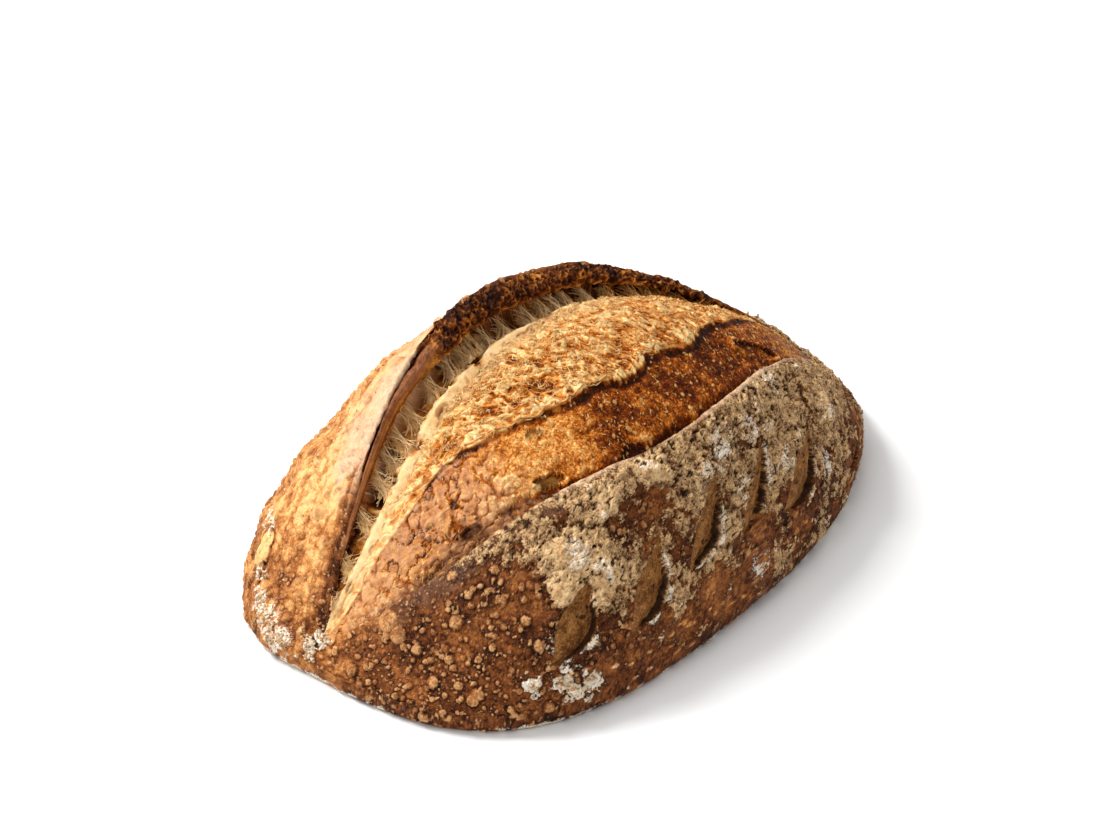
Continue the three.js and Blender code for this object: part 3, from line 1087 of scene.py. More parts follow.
    @staticmethod
    def toast_and_shade(site: CrustSite, flour: FlourCover, blisters: BlisterCover, pared: Array) -> Array:
        """Baked colour and painted shade: dark on the nose and low down, pale towards the ear, and dark
        rings of painted shade round the blisters.

        Args:
            site: the points.
            flour: the flour on them.
            blisters: the blisters on them.
            pared: closeness to the shaved place, 0 to 1.

        Returns:
            browning, from about 0 to 1.
        """
        left, ear_near = site.left, site.ear_near()
        spotty = 0.2 * site.patchy + 0.17 * site.grain + 0.1 * site.fleck
        toast_and_shade = 0.57 + 0.16 * site.broad + spotty * blend(1.0, 0.45, left) + 0.06 * site.front
        toast_and_shade -= left * (0.17 + 0.2 * ramp(site.z, 14.0, 60.0) + 0.2 * site.strands) + 0.12 * ear_near
        crest = site.on_ear(ramp(site.to_edge, 6.0, 1.5))
        toast_and_shade += crest * (0.4 * ramp(site.x, -82.0, -104.0) + 0.5 * ramp(site.x, -68.0, -52.0))
        toast_and_shade += 0.3 * ramp(pared, 0.1, 0.2) * ramp(pared, 0.4, 0.3) - 0.45 * ramp(pared, 0.3, 0.42)
        toast_and_shade += 0.1 * ramp(site.z, 5.0, 1.5) - 0.1 * blisters.low_band
        # Painted shade: dark rings where the blisters meet the crust.
        toast_and_shade += blisters.rings() * blend(0.24, 0.18, left) * (1.0 - 0.5 * ear_near)
        toast_and_shade += 0.26 * (creases(site.p, 5.0, 95, 2) - 0.5) * left
        toast_and_shade -= 0.34 * ramp(blisters.streak, 0.0, 0.6) * blisters.low_band
        return toast_and_shade + 0.12 * ramp(flour.amount, 0.1, 0.5)

    def blister(self, site: CrustSite, blisters: BlisterCover) -> Array:
        """Cover of the blisters' tops and of the pair on the nose."""
        strength = 0.8 + 0.4 * site.grain + 0.4 * site.patchy
        cover = np.clip(blisters.swell * blisters.tops() * strength, 0.0, 1.0)
        cover = cover * blend(1.0, 0.85, site.left)
        return np.maximum(cover, ramp(self.twins.cover(site.p), 0.25, 0.5))

    def white(self, site: CrustSite, flour: FlourCover, blisters: BlisterCover,
              cuts: LeafRelief, chips: Array) -> Array:
        """Cover of raw flour: chips, smears, dust, streaks, brims and the loaf's foot.

        Args:
            site: the points.
            flour: the flour on them.
            blisters: the blisters on them.
            cuts: the leaf cuts.
            chips: cover of the flour chips, 0 to 1.

        Returns:
            The cover, 0 or more.
        """
        grain, patchy = site.grain, site.patchy
        places = self.white_places.cover(site.shifted) * site.front
        places = places * ramp(grain + site.fleck, -0.4, 0.1)
        smear = self.smears.cover(site.shifted) * ramp(grain + 0.8 * site.fleck, -0.35, 0.15)
        foot = ramp(site.z, 3.4, 1.0) * ramp(grain + 0.6 * site.broad, 0.0, 0.4) * 0.8
        dusty = 0.55 * flour.thick * ramp(patchy + site.clods, 0.2, 0.8)
        streaks = 0.7 * blisters.low_band * ramp(blisters.streak, 0.35, 0.7)
        streaks = streaks * ramp(site.broad + grain, 0.1, 0.6)
        brims = 0.8 * cuts.brim * (site.y < 0) * ramp(grain + patchy, -0.3, 0.5)
        return np.max([np.maximum(places, chips), smear * 1.8, dusty, foot, streaks, brims], axis=0)

    @staticmethod
    def pits_and_undercut_shade(site: CrustSite, flour: FlourCover, cuts: LeafRelief) -> Array:
        """Cover of dark pits, cracks and specks in the flour, and painted shade under the cuts'
        undercut lower edges.
        """
        near_edge = 0.4 * ramp(site.to_edge, 16.0, 2.0)
        peppered = ramp(layered_noise(site.p, 15.0, 46, 2) + near_edge, -0.1, 0.5)
        black = ramp(-site.fleck - 0.4 * site.grain - 0.5 * site.clods, 0.15, 0.5) * peppered
        dark = np.max([flour.pits, 0.8 * flour.cracks, black], axis=0)
        specks = 0.7 * ramp(-site.fleck, 0.5, 0.8) * site.front * ramp(flour.amount, 0.0, 0.4)
        return np.maximum(np.maximum(flour.cover * dark, 0.85 * cuts.lip), specks)

    @staticmethod
    def dune(site: CrustSite, flour: FlourCover, blisters: BlisterCover) -> Array:
        """Cover of thick pale flour, in dunes and cakes, and a painted highlight on the tops of the
        floured grains.
        """
        grains = np.maximum(ramp(blisters.mid, 0.2, 0.8), 0.9 * ramp(blisters.small, 0.2, 0.8))
        # Painted highlight: pale tops on the floured grains.
        grain_highlights = grains * ramp(site.patchy + site.grain, -0.5, 0.4)
        return flour.cover * (flour.dune + 0.5 * flour.thick + 0.7 * grain_highlights)

    @staticmethod
    def cream(site: CrustSite, cuts: LeafRelief) -> Array:
        """Cover of pale smooth crust with a painted highlight: by the ear, brighter up the flank, in
        the back's cuts and on the bare edges.
        """
        # Pale streaked crust by the ear, with a painted highlight that grows up the flank.
        pale_crust_and_highlight = ramp(0.5 * site.strands - 0.3 * site.patchy + ramp(site.z, 34.0, 72.0), 0.3, 1.1)
        edge_light = ramp(site.to_edge, 0.9, 0.4) * ramp(site.x, -92.0, -60.0)
        crest_light = site.on_ear(ramp(site.to_edge, 1.8, 0.7)) * ramp(site.x, -112.0, -92.0)
        cover = np.max([0.95 * site.ear_near() * pale_crust_and_highlight, 0.25 * cuts.face * (site.y >= 0),
                        0.55 * edge_light * site.front, 0.9 * crest_light], axis=0)
        charred = site.ear_side * ramp(site.x, -68.0, -52.0) * ramp(site.to_edge, 9.0, 4.0)
        return np.clip(cover, 0.0, 1.0) * (1.0 - charred)


@dataclass
class Crust:
    """The outer crust in three joined skins, each from the underside up to the slash."""

    form: LoafForm
    wear: CrustWear
    detail: float = 1.0
    columns: int = 478
    base_rows: int = 6
    shoulder_rows: int = 8
    flank_rows: int = 178
    rolled_edge: tuple[tuple[float, float], ...] = (
        (0.45, 0.12), (0.85, 0.45), (1.05, 1.0), (1.0, 1.8), (0.8, 2.8), (0.5, 4.2))
    joints: tuple[float, float, float] = (1.75, 3.75, 6.0)
    pole: tuple[float, float, float] = (-15.0, -8.0, 38.0)
    granule_count: int = 3200
    names: tuple[str, str, str] = ("crust_nose", "crust_floured_flank", "crust_far_flank")

    def bare_rows(self, angle: Array) -> Array:
        """Rows from the underside's middle to the rolled edge at the slash."""
        base = np.linspace(0.0, 1.0, self.base_rows, endpoint=False) ** 0.6
        shoulder = np.linspace(0.0, 1.0, self.shoulder_rows, endpoint=False)
        rows = int(self.flank_rows * self.detail)
        flank = self.form.flank(angle, np.linspace(0.0, 1.0, rows))
        edge = flank[-1]
        outline = np.stack(self.form.plan(angle), axis=-1)
        inward = unit(edge[:, :2] - outline)
        rolled = [np.concatenate([edge[:, :2] + inward * step, edge[:, 2:] - drop], axis=-1)
                  for step, drop in self.rolled_edge]
        return np.concatenate([self.form.underside(angle, base), self.form.shoulder(angle, shoulder),
                               flank, np.stack(rolled)])

    def skin(self, start: float, end: float) -> Skin:
        """One skin between two turns round the loaf.

        A column more at each side gives the joints the same normals on both skins.

        Args:
            start: first turn, in radians.
            end: last turn.

        Returns:
            The skin with its relief and masks.
        """
        count = int(self.columns * self.detail)
        step = (end - start) / (count - 1)
        angle = start + step * np.arange(-2, count + 2)
        bare = self.bare_rows(angle)
        outward = grid_normals(bare)
        outward[: self.base_rows] = (0.0, 0.0, -1.0)
        edge = np.stack(self.form.edge(angle), axis=-1)
        to_edge = np.linalg.norm(bare[..., :2] - edge[None], axis=-1)
        _, ear_side = self.form.column(angle)
        relief, masks = self.wear(bare, to_edge, np.broadcast_to(ear_side, to_edge.shape))
        steady = np.ones(bare.shape[0])
        steady[: self.base_rows] = 0.0
        stop = self.base_rows + self.shoulder_rows
        steady[self.base_rows:stop] = np.arange(self.shoulder_rows) / self.shoulder_rows
        relief = (relief + self.form.lumpiness(bare)) * steady[:, None]
        points = bare + outward * relief[..., None]
        points[..., 2] = np.maximum(points[..., 2], bare[..., 2] / 2.0)
        normals = grid_normals(points)
        normals[: self.base_rows] = (0.0, 0.0, -1.0)
        points, normals = points[:, 2:-2], normals[:, 2:-2]
        masks = {key: mask[:, 2:-2] for key, mask in masks.items()}
        border = Skin.rim(points)
        pole = np.array(self.pole)
        drop = np.array([0.0, 0.0, 1.0]) * ramp(border[:, 2:], 10, 40) * 10
        inner = blend(border, pole, 0.25) - drop
        inner[:, 2] = np.maximum(inner[:, 2], 0.5)
        return Skin(points, normals, masks, inner, pole)

    def granules(self, skins: list[Skin], material: bpy.types.Material) -> bpy.types.Object:
        """Flour crumbs and chips, strewn where the skins are white or floured.

        Args:
            skins: the crust's skins.
            material: the crust's material.

        Returns:
            The joined crumbs as one piece.
        """
        rng = np.random.default_rng(SEED)
        spots = np.concatenate([skin.points.reshape(-1, 3) for skin in skins])
        outward = np.concatenate([skin.normals.reshape(-1, 3) for skin in skins])
        white, flour, blister = (np.concatenate([skin.masks[key].ravel() for skin in skins])
                                 for key in ("white", "flour", "blister"))
        weight = (white**2 + 0.25 * flour + 0.04 * blister) * (spots[:, 2] > 1.5)
        pick = rng.choice(len(spots), self.granule_count, p=weight / weight.sum())
        rings = 3
        along = unit(np.cross(outward[pick], rng.normal(size=(len(pick), 3))))
        size = 0.22 + 0.5 * rng.random(len(pick)) ** 2.5 * (0.6 + white[pick])
        share = np.linspace(-1.0, 1.0, rings)[None, :, None]
        paths = spots[pick][:, None] + along[:, None] * share * size[:, None, None]
        paths = paths + outward[pick][:, None] * 0.25 * size[:, None, None]
        radii = size[:, None] * np.array([0.5, 0.8, 0.5]) * rng.uniform(0.6, 1.2, (len(pick), rings))
        masks = {"toast_and_shade": 0.5 * rng.random(len(pick)),
                 "flour": 0.7 + 0.3 * flour[pick],
                 "white": white[pick] * rng.random(len(pick))}
        strewer = Strewer(self.form.middle(), material, sides=5, flatness=0.7)
        return strewer.build("flour_crumbs", paths, radii, masks)

    def build(self) -> list[bpy.types.Object]:
        """Makes the three skins and what is strewn on them."""
        turns = [*self.joints, self.joints[0] + 2.0 * math.pi]
        material = Finish.CRUST.value.make()
        skins = [self.skin(start, end) for start, end in zip(turns[:-1], turns[1:])]
        made = [skin.build(name, self.form.middle(), material) for name, skin in zip(self.names, skins)]
        return [*made, self.granules(skins, material)]


# --------------------------------------------------------------------------
# Bloom: the dough that swelled out of the slash
# --------------------------------------------------------------------------

def run_shares(count: int) -> Array:
    """Shares along the slash, half evenly spaced and half crowded towards the tips."""
    even = np.linspace(0.0, 1.0, count)
    return 0.5 * even + 0.5 * (0.5 - 0.5 * np.cos(math.pi * even))


@dataclass(frozen=True)
class TearLook:
    """How one kind of torn fibre looks: its number, size in millimetres, bends and browning."""

    seed: int
    tries: int
    length: float
    thick: float
    arch: float
    bend: float
    stray: float
    tones: tuple[float, float]
    lean: float = 1.0
    most: int = 3500
    rings: int = 7


class Tear(Enum):
    """The kinds of torn fibre on the bloom: on the upper layer, the lower one and two edges."""

    CURLS = TearLook(1, 7600, 3.8, 0.16, 0.3, 1.2, 0.4, (0.0, 0.45), lean=0.8)
    WISPS = TearLook(2, 5200, 1.7, 0.15, 0.1, 1.6, 0.9, (0.1, 0.5), rings=5)
    FRINGE = TearLook(3, 9000, 3.6, 0.2, 0.5, 1.8, 0.7, (0.0, 0.34), lean=0.3)
    RIMS = TearLook(4, 260, 8.0, 0.22, 0.2, 0.0, 0.0, (0.1, 0.45), rings=9)


class BubbleFloor(Enum):
    """How the floor of a burst bubble is coloured."""

    PLAIN = "as the bloom round it"
    PALE = "pale crumb"
    # Painted shade: the floor of a deep hole painted dark.
    DARK = "dark hole"


@dataclass(frozen=True)
class BurstBubble:
    """A burst bubble of the bloom: its shares along and across, half sizes and depth in mm."""

    along: float
    across: float
    half_length: float
    half_width: float
    depth: float
    floor: BubbleFloor


class BloomSite:
    """Points of the bloom, where they lie on it, and the noises that its parts share."""

    def __init__(self, p: Array, s: Array, t: Array, bloom: "Bloom") -> None:
        """Works out the shared noises. Fibres run along "along", which turns with x.

        Args:
            p: bare points.
            s: share along the slash, for each point.
            t: share across the bloom, for each point.
            bloom: gives the edges of its layers.
        """
        x, y = p[..., 0], p[..., 1]
        self.p, self.s, self.t = p, s, t
        far = ramp(x, -30.0, 50.0)
        self.along = x * blend(0.6, 0.0, far) - 0.9 * y + 2.0 * layered_noise(p, 5.0, 121, 2)
        aside = 0.8 * x + 0.6 * y * (1.0 - far) + 1.4 * layered_noise(p, 4.0, 119, 2)
        self.aside = aside + 3.5 * layered_noise(p, 16.0, 120, 2)
        self.still = np.zeros_like(self.along)
        drawn = np.stack([self.along / 3.5, self.aside, self.still], axis=-1)
        self.fibre = layered_noise(drawn, 1.0, 122, 3)
        curled = np.stack([self.along / 2.4, self.aside, self.still], axis=-1)
        self.curl = creases(curled, 1.9, 123, 2) ** 1.4
        self.clumps = layered_noise(p, 8.0, 124, 3)
        self.broad = layered_noise(p, 26.0, 125, 2)
        self.grain = layered_noise(p, 1.6, 126, 2)
        self.past_step = t - bloom.layer_edge(s)
        self.past_flap = t - bloom.flap_edge(s)
        self.upper = smooth(self.past_step / bloom.layer_slope + 0.5)
        self.near = ramp(s, 0.32, 0.16)
        self.plain = self.near * (1.0 - self.upper)
        self.rough = np.clip(0.8 + 0.6 * self.clumps, 0.2, 1.3) * blend(0.16, 1.0, self.upper)
        self.rough = self.rough * blend(1.0, 0.6, self.near)
        jitter = self.grain[..., None]
        drawn_out = p * np.array([1.0, 0.7, 1.0]) + 0.4 * jitter
        rounder = (p + 0.5 * jitter) * np.array([1.0, 0.75, 1.0])
        self.dots, _ = Bubbles(2.1, 0.4, 1.0, 0.9, 131).field(drawn_out)
        self.ovals, _ = Bubbles(3.8, 0.7, 1.7, 0.75, 141).field(rounder)
        self.wrinkle = creases(p + 0.8 * jitter, 4.5, 128, 2)
        self.dents = np.maximum(0.9 * wall(self.ovals), ramp(self.wrinkle, 0.55, 0.95))


@dataclass
class Bloom:
    """The bloom: two torn layers, curled fibres and a few burst bubbles."""

    form: LoafForm
    detail: float = 1.0
    stations: int = 480
    rows: int = 196
    gap: float = 13.4
    ledge: float = 2.5
    sink: float = 4.0
    layer_step: float = 2.8
    layer_slope: float = 0.045
    flap_drop: float = 1.6
    tuck: float = 0.05
    lumpiness: float = 0.8
    run_length: float = 225.0
    usual_width: float = 58.0
    pole: tuple[float, float, float] = (-20.0, -22.0, 34.0)
    bubbles: tuple[BurstBubble, ...] = (
        BurstBubble(0.304, 0.37, 2.2, 1.5, 1.2, BubbleFloor.PALE),
        BurstBubble(0.27, 0.12, 4.8, 1.8, 2.2, BubbleFloor.PALE),
        BurstBubble(0.157, 0.19, 3.2, 2.2, 3.5, BubbleFloor.DARK),
        BurstBubble(0.795, 0.17, 11.0, 4.2, 1.0, BubbleFloor.PLAIN),
    )

    def layer_edge(self, s: Array) -> Array:
        """Share across the bloom where the upper layer ends, along the slash."""
        near = 0.42 * np.exp(-(((s - 0.1) / 0.2) ** 2))
        far = 0.47 * smooth((s - 0.6) / 0.5)
        still = np.zeros_like(s)
        waver = 0.04 * smooth_noise(np.stack([14.0 * s, still, still], axis=-1), SEED + 3)
        torn = 0.012 * smooth_noise(np.stack([70.0 * s, still, still], axis=-1), SEED + 4)
        return 0.325 + near + far + waver + torn

    def flap_edge(self, s: Array) -> Array:
        """Share across the bloom of the low flap that is torn along the floured edge."""
        still = np.zeros_like(s)
        torn = 0.02 * smooth_noise(np.stack([34.0 * s, still, still], axis=-1), SEED + 5)
        return 0.06 + 0.12 * np.exp(-(((s - 0.16) / 0.1) ** 2)) + torn

    def edges(self, s: Array) -> tuple[Array, Array]:
        """Plan y of the bloom's floured edge and of its torn edge by the crumb."""
        x, floured, ear, opening = self.form.slash(s)
        still = np.zeros_like(x)
        jag = 0.9 * layered_noise(np.stack([x, still, still], axis=-1), 5.0, 119, 3)
        return floured, ear - (self.gap + jag) * opening

    def shares(self, x: Array, y: Array) -> tuple[Array, Array]:
        """Shares s along the slash and t across the bloom of places in plan."""
        s = (x - self.form.near_tip[0]) / (self.form.far_tip[0] - self.form.near_tip[0])
        s = np.clip(s, 0.0, 1.0)
        floured, edge = self.edges(s)
        return s, (y - floured) / np.maximum(edge - floured, 4.0)

    def bare(self, s: Array, t: Array) -> Array:
        """Bloom without its texture: the dome, sunk at the ledge and towards the crumb.

        Args:
            s: shares along the slash.
            t: shares across the bloom, of the same shape.

        Returns:
            Points, with x, y and z along a last axis.
        """
        x, _, _, opening = self.form.slash(s)
        floured, edge = self.edges(s)
        y = blend(floured, edge, t)
        held = np.clip(t, 0.0, 1.0)
        layer = self.layer_step * smooth((held - self.layer_edge(s)) / self.layer_slope + 0.5)
        on_flap = smooth((held - self.flap_edge(s)) / 0.02 + 0.5) - 1.0
        flap = self.flap_drop * on_flap * ramp(s, 0.8, 0.5)
        lift = -self.ledge * (1 - held) ** 3 - self.sink * held**4 + layer * (1 - held) + flap
        under = np.clip(-t, 0.0, 1.0) * 60.0 + np.clip(t - 1.0, 0.0, 1.0) ** 1.3 * 160.0
        z = self.form.dome(x, y) + (lift - under) * opening - 0.4
        return np.stack([x, y, z], axis=-1)

    @staticmethod
    def flow(p: Array) -> Array:
        """Direction in plan that the torn fibres run, in radians, turning along the loaf."""
        return -0.95 - 0.6 * ramp(p[..., 0], -30.0, 50.0) + 0.25 * layered_noise(p, 30.0, 120, 1)

    def texture(self, p: Array, s: Array, t: Array) -> tuple[Array, dict[str, Array]]:
        """Relief and masks of the bloom.

        Fibres are noise stretched along the flow, and curls are ridged noise along it.

        Args:
            p: bare points.
            s: share along the slash, for each point.
            t: share across the bloom, for each point.

        Returns:
            relief outward in millimetres, and a mask for each coat.
        """
        site = BloomSite(p, s, t, self)
        grain, clumps, near, upper = site.grain, site.clumps, site.near, site.upper
        relief, toast_and_shade = self.relief(site), self.toast_and_shade(site)
        relief, toast_and_shade, hollow = self.burst(site, relief, toast_and_shade)
        rosy = near * (1.0 - 0.5 * upper) * (0.85 + 0.5 * clumps + 0.3 * grain - 0.6 * site.dents)
        dusk = np.maximum(ramp(s, 0.86, 0.94) * 0.8, near * ramp(t + 0.06 * clumps, 0.34, 0.08))
        along_fibres = np.stack([site.along / 2.6, site.aside / 0.55, site.still], axis=-1)
        masks = {
            "toast_and_shade": np.clip(toast_and_shade, 0.0, 1.0),
            "rosy": np.clip(rosy, 0.0, 1.0),
            "fleck": (1.0 - upper) * ramp(site.dots, 0.05, 0.5) * ramp(clumps + grain, -0.6, 0.2)
            * (1.0 - near),
            "cream": ramp(t + 0.09 * clumps + 0.05 * site.curl - 0.07 * near, 0.82, 0.97)
            * ramp(s, 0.8, 0.6),
            "hollow": hollow,
            "flow": np.where(upper[..., None] > 0.5, along_fibres, p / 0.75),
            "dusk": np.clip(dusk * (0.8 + 0.4 * grain), 0.0, 1.0),
        }
        return relief, masks

    @staticmethod
    def relief(site: BloomSite) -> Array:
        """Height of fibres and curls, dots on the lower layer, and ovals at its near end."""
        lower = 0.35 * cap(site.dots) + 0.35 * creases(site.p, 3.2, 127, 2)
        relief = site.rough * (0.8 * site.fibre + 1.1 * site.curl - 0.3) + 0.6 * site.clumps
        relief += (1.0 - site.upper) * lower
        folds = 1.1 * cap(site.ovals) - 0.7 * ramp(site.wrinkle, 0.6, 1.0) + 0.3 * site.fibre
        return relief + site.plain * folds

    @staticmethod
    def toast_and_shade(site: BloomSite) -> Array:
        """Baked colour, painted shade and highlight: pale above and by the crumb, dark below and on the
        flap, dark along the step partly as painted shade, with painted shade between the curls and
        painted highlight on their crests.

        Args:
            site: the points.

        Returns:
            browning, from about 0 to 1.
        """
        s, t, near, upper = site.s, site.t, site.near, site.upper
        clumps, grain, past, flap = site.clumps, site.grain, site.past_step, site.past_flap
        # Painted shade between the curls and painted highlight on their crests and raised fibres.
        shaded_gaps = ramp(site.curl + 0.25 * site.fibre, 0.3, 0.08)
        toast_and_shade = 0.07 + (0.32 + 0.28 * ramp(s, 0.3, 0.44)) * (1.0 - upper)
        toast_and_shade += site.rough * (0.42 * shaded_gaps - 0.2 * site.fibre - 0.3 * (site.curl - 0.35))
        patches = 0.28 * upper * ramp(-clumps, 0.2, 0.6)
        toast_and_shade += -0.2 * clumps + 0.16 * site.broad + 0.16 * grain + patches
        # Dark line at the foot of the step: darker crust with painted shade.
        toast_and_shade += 0.3 * ramp(past, -0.045, -0.02) * ramp(past, 0.012, -0.006) * ramp(s, 0.02, 0.2)
        toast_and_shade -= 0.06 * ramp(past, 0.0, 0.02) * ramp(past, 0.07, 0.03)
        strip = ramp(flap, 0.008, -0.008) * ramp(s, 0.1, 0.2)
        toast_and_shade += 0.32 * strip * ramp(s, 0.6, 0.4) - 0.08 * ramp(s, 0.62, 0.84)
        toast_and_shade += near * (0.14 * grain - 0.22 * (1.0 - 0.4 * upper))
        toast_and_shade -= 0.08 * ramp(flap, 0.0, 0.01) * ramp(flap, 0.05, 0.02)
        toast_and_shade += site.plain * (0.36 * site.dents - 0.14 * ramp(site.ovals, 0.0, 0.6) + 0.14)
        return toast_and_shade - 0.24 * ramp(t - 0.1 * near, 0.7, 1.0) * ramp(s, 0.9, 0.6)

    def burst(self, site: BloomSite, relief: Array, toast_and_shade: Array) -> tuple[Array, Array, Array]:
        """Sinks the burst bubbles into the relief, with a raised brim, a painted shade on the upper
        wall and a painted shade on the floor of a shaded hole.

        Args:
            site: the points.
            relief: heights without them, in millimetres.
            toast_and_shade: browning without them.

        Returns:
            relief, browning, and the cover of their pale floors.
        """
        hollow = np.zeros_like(site.t)
        for bubble in self.bubbles:
            run = (site.s - bubble.along) * self.run_length + site.grain
            side = (site.t - bubble.across) * self.usual_width + 0.35 * run + 0.6 * site.grain
            away = (run / bubble.half_length) ** 2 + (side / bubble.half_width) ** 2
            inside = ramp(away, 1.1, 0.75)
            brim = ramp(away, 0.9, 1.15) * ramp(away, 1.6, 1.3)
            # Painted shade on the upper wall of each hole.
            shade = 0.34 * ramp(away, 0.6, 0.85) * ramp(away, 1.15, 0.9) * (side > 0.0)
            relief = relief * (1.0 - 0.6 * inside) - bubble.depth * inside + 0.9 * brim
            toast_and_shade = toast_and_shade + (shade - 0.2 * brim)
            if bubble.floor is BubbleFloor.DARK:
                toast_and_shade = toast_and_shade + 0.7 * inside
            elif bubble.floor is BubbleFloor.PALE:
                hollow = np.maximum(hollow, inside * ramp(away, 0.95, 0.6))
        return relief, toast_and_shade, hollow

    def home(self, kind: Tear, s: Array, t: Array) -> Array:
        """Chance from 0 to 1 that a tear of a kind grows at shares s and t."""
        upper = ramp(t - self.layer_edge(s), 0.01, 0.06) * ramp(s, 0.1, 0.24)
        fringe = ramp(t, 0.86, 0.97) * ramp(s, 0.96, 0.8)
        if kind is Tear.RIMS:
            return ramp(s, 0.1, 0.2) * ramp(s, 0.9, 0.7)
        if kind is Tear.FRINGE:
            return fringe
        lower = ramp(self.layer_edge(s) - t, 0.02, 0.06) * ramp(t, 0.02, 0.1)
        return upper * (1.0 - fringe) if kind is Tear.CURLS else lower

    def courses(self, kind: Tear, starts: tuple[Array, Array], length: Array, w: Array,
                rng: np.random.Generator) -> tuple[Array, Array]:
        """Courses of the tears: rims follow the step, and the others the flow, bending aside.

        Args:
            kind: the kind of tear.
            starts: shares s and t of the tears' middles.
            length: their lengths, in millimetres.
            w: shares along a tear, from -1/2 to 1/2, shape (1, rings).
            rng: draws their bends.

        Returns:
            Shares s and t, shape (tears, rings).
        """
        s, t = starts
        look, count = kind.value, len(s)
        if kind is Tear.RIMS:
            ring_s = np.clip(s[:, None] + length[:, None] * w / self.run_length, 0.0, 1.0)
            ring_t = self.layer_edge(ring_s) + 0.012 + rng.normal(0.0, 0.006, (count, 1))
            return ring_s, ring_t + 0.012 * np.abs(w) * length[:, None] / 4.0
        start = self.bare(s, t)
        turn = self.flow(start) + rng.normal(0.0, look.stray, count)
        heading = turn[:, None] + rng.normal(0.0, look.bend, count)[:, None] * w
        heading = heading + 0.9 * np.sin(8.0 * w + 6.3 * rng.random(count)[:, None])
        x = start[:, :1] + length[:, None] * w * np.cos(heading)
        y = start[:, 1:2] + length[:, None] * w * np.sin(heading)
        return self.shares(x, y)

    def tears(self, kind: Tear, material: bpy.types.Material) -> bpy.types.Object:
        """Torn fibres of one kind, strewn over the bloom.

        Each arches off the surface by height * (1 - (2w)^2), where w runs from -1/2 to 1/2.

        Args:
            kind: the kind of tear.
            material: the bloom's material.

        Returns:
            The joined fibres as one piece.
        """
        look = kind.value
        rng = np.random.default_rng(SEED + look.seed)
        s, t = 0.02 + 0.95 * rng.random(look.tries), rng.random(look.tries) ** look.lean
        kept = rng.random(look.tries) < self.home(kind, s, t)
        s, t = s[kept][:look.most], t[kept][:look.most]
        count = len(s)
        length = look.length * (0.3 + rng.random(count) ** 1.8)
        w = np.linspace(-0.5, 0.5, look.rings)[None]
        ring_s, ring_t = self.courses(kind, (s, t), length, w, rng)
        ring_t = np.clip(ring_t, 0.01, 1.04)
        paths = self.bare(ring_s, ring_t)
        relief, _ = self.texture(paths, ring_s, np.clip(ring_t, 0.0, 1.0))
        relief = (relief + self.lumpiness * self.form.lumpiness(paths)) * self.form.slash(ring_s)[3]
        arch = look.arch * (0.3 + rng.random(count))[:, None] * (1.0 - 4.0 * w**2)
        curl = look.arch * rng.normal(0.0, 1.0, count)[:, None] * w
        paths[..., 2] += relief + arch + curl + 0.04
        thick = look.thick * (0.6 + rng.random(count) ** 2)[:, None] * np.sqrt(1.05 - 4.0 * w**2)
        tone = blend(*look.tones, rng.random(count) ** 1.4) + 0.1 * ramp(s, 0.5, 0.8)
        side = rng.random(count) * 40.0
        cream = ramp(t, 0.8, 0.96) * ramp(s, 0.8, 0.6) * rng.random(count) ** 0.5
        masks = {"toast_and_shade": tone, "cream": cream, "rosy": 0.4 * ramp(s, 0.3, 0.15),
                 "flow": np.stack([length, side, side], axis=-1)}
        strewer = Strewer(self.form.middle(), material)
        return strewer.build(f"bloom_{kind.name.lower()}", paths, thick, masks)

    def build(self) -> list[bpy.types.Object]:
        """Makes the bloom's closed skin and the torn fibres on it."""
        s = run_shares(int(self.stations * self.detail))
        t = np.linspace(-self.tuck, 1.0 + 2.0 * self.tuck, int(self.rows * self.detail))
        shares, across = np.meshgrid(s, t)
        bare = self.bare(shares, across)
        outward = grid_normals(bare)
        relief, masks = self.texture(bare, shares, np.clip(across, 0.0, 1.0))
        opening = self.form.slash(s)[3][None]
        relief = (relief + self.lumpiness * self.form.lumpiness(bare)) * opening
        points = bare + outward * relief[..., None]
        normals = grid_normals(points)
        border = Skin.rim(points)
        pole = np.array(self.pole)
        inner = blend(border, pole, 0.1) - np.array([0.0, 0.0, 8.0])
        inner = np.where(border[:, 2:] > 30.0, inner, blend(border, pole, 0.1))
        material = Finish.BLOOM.value.make()
        piece = Skin(points, normals, masks, inner, pole).build("bloom", self.form.middle(), material)
        return [piece, *(self.tears(kind, material) for kind in Tear)]


# --------------------------------------------------------------------------
# Ear and the open crumb under it
# --------------------------------------------------------------------------

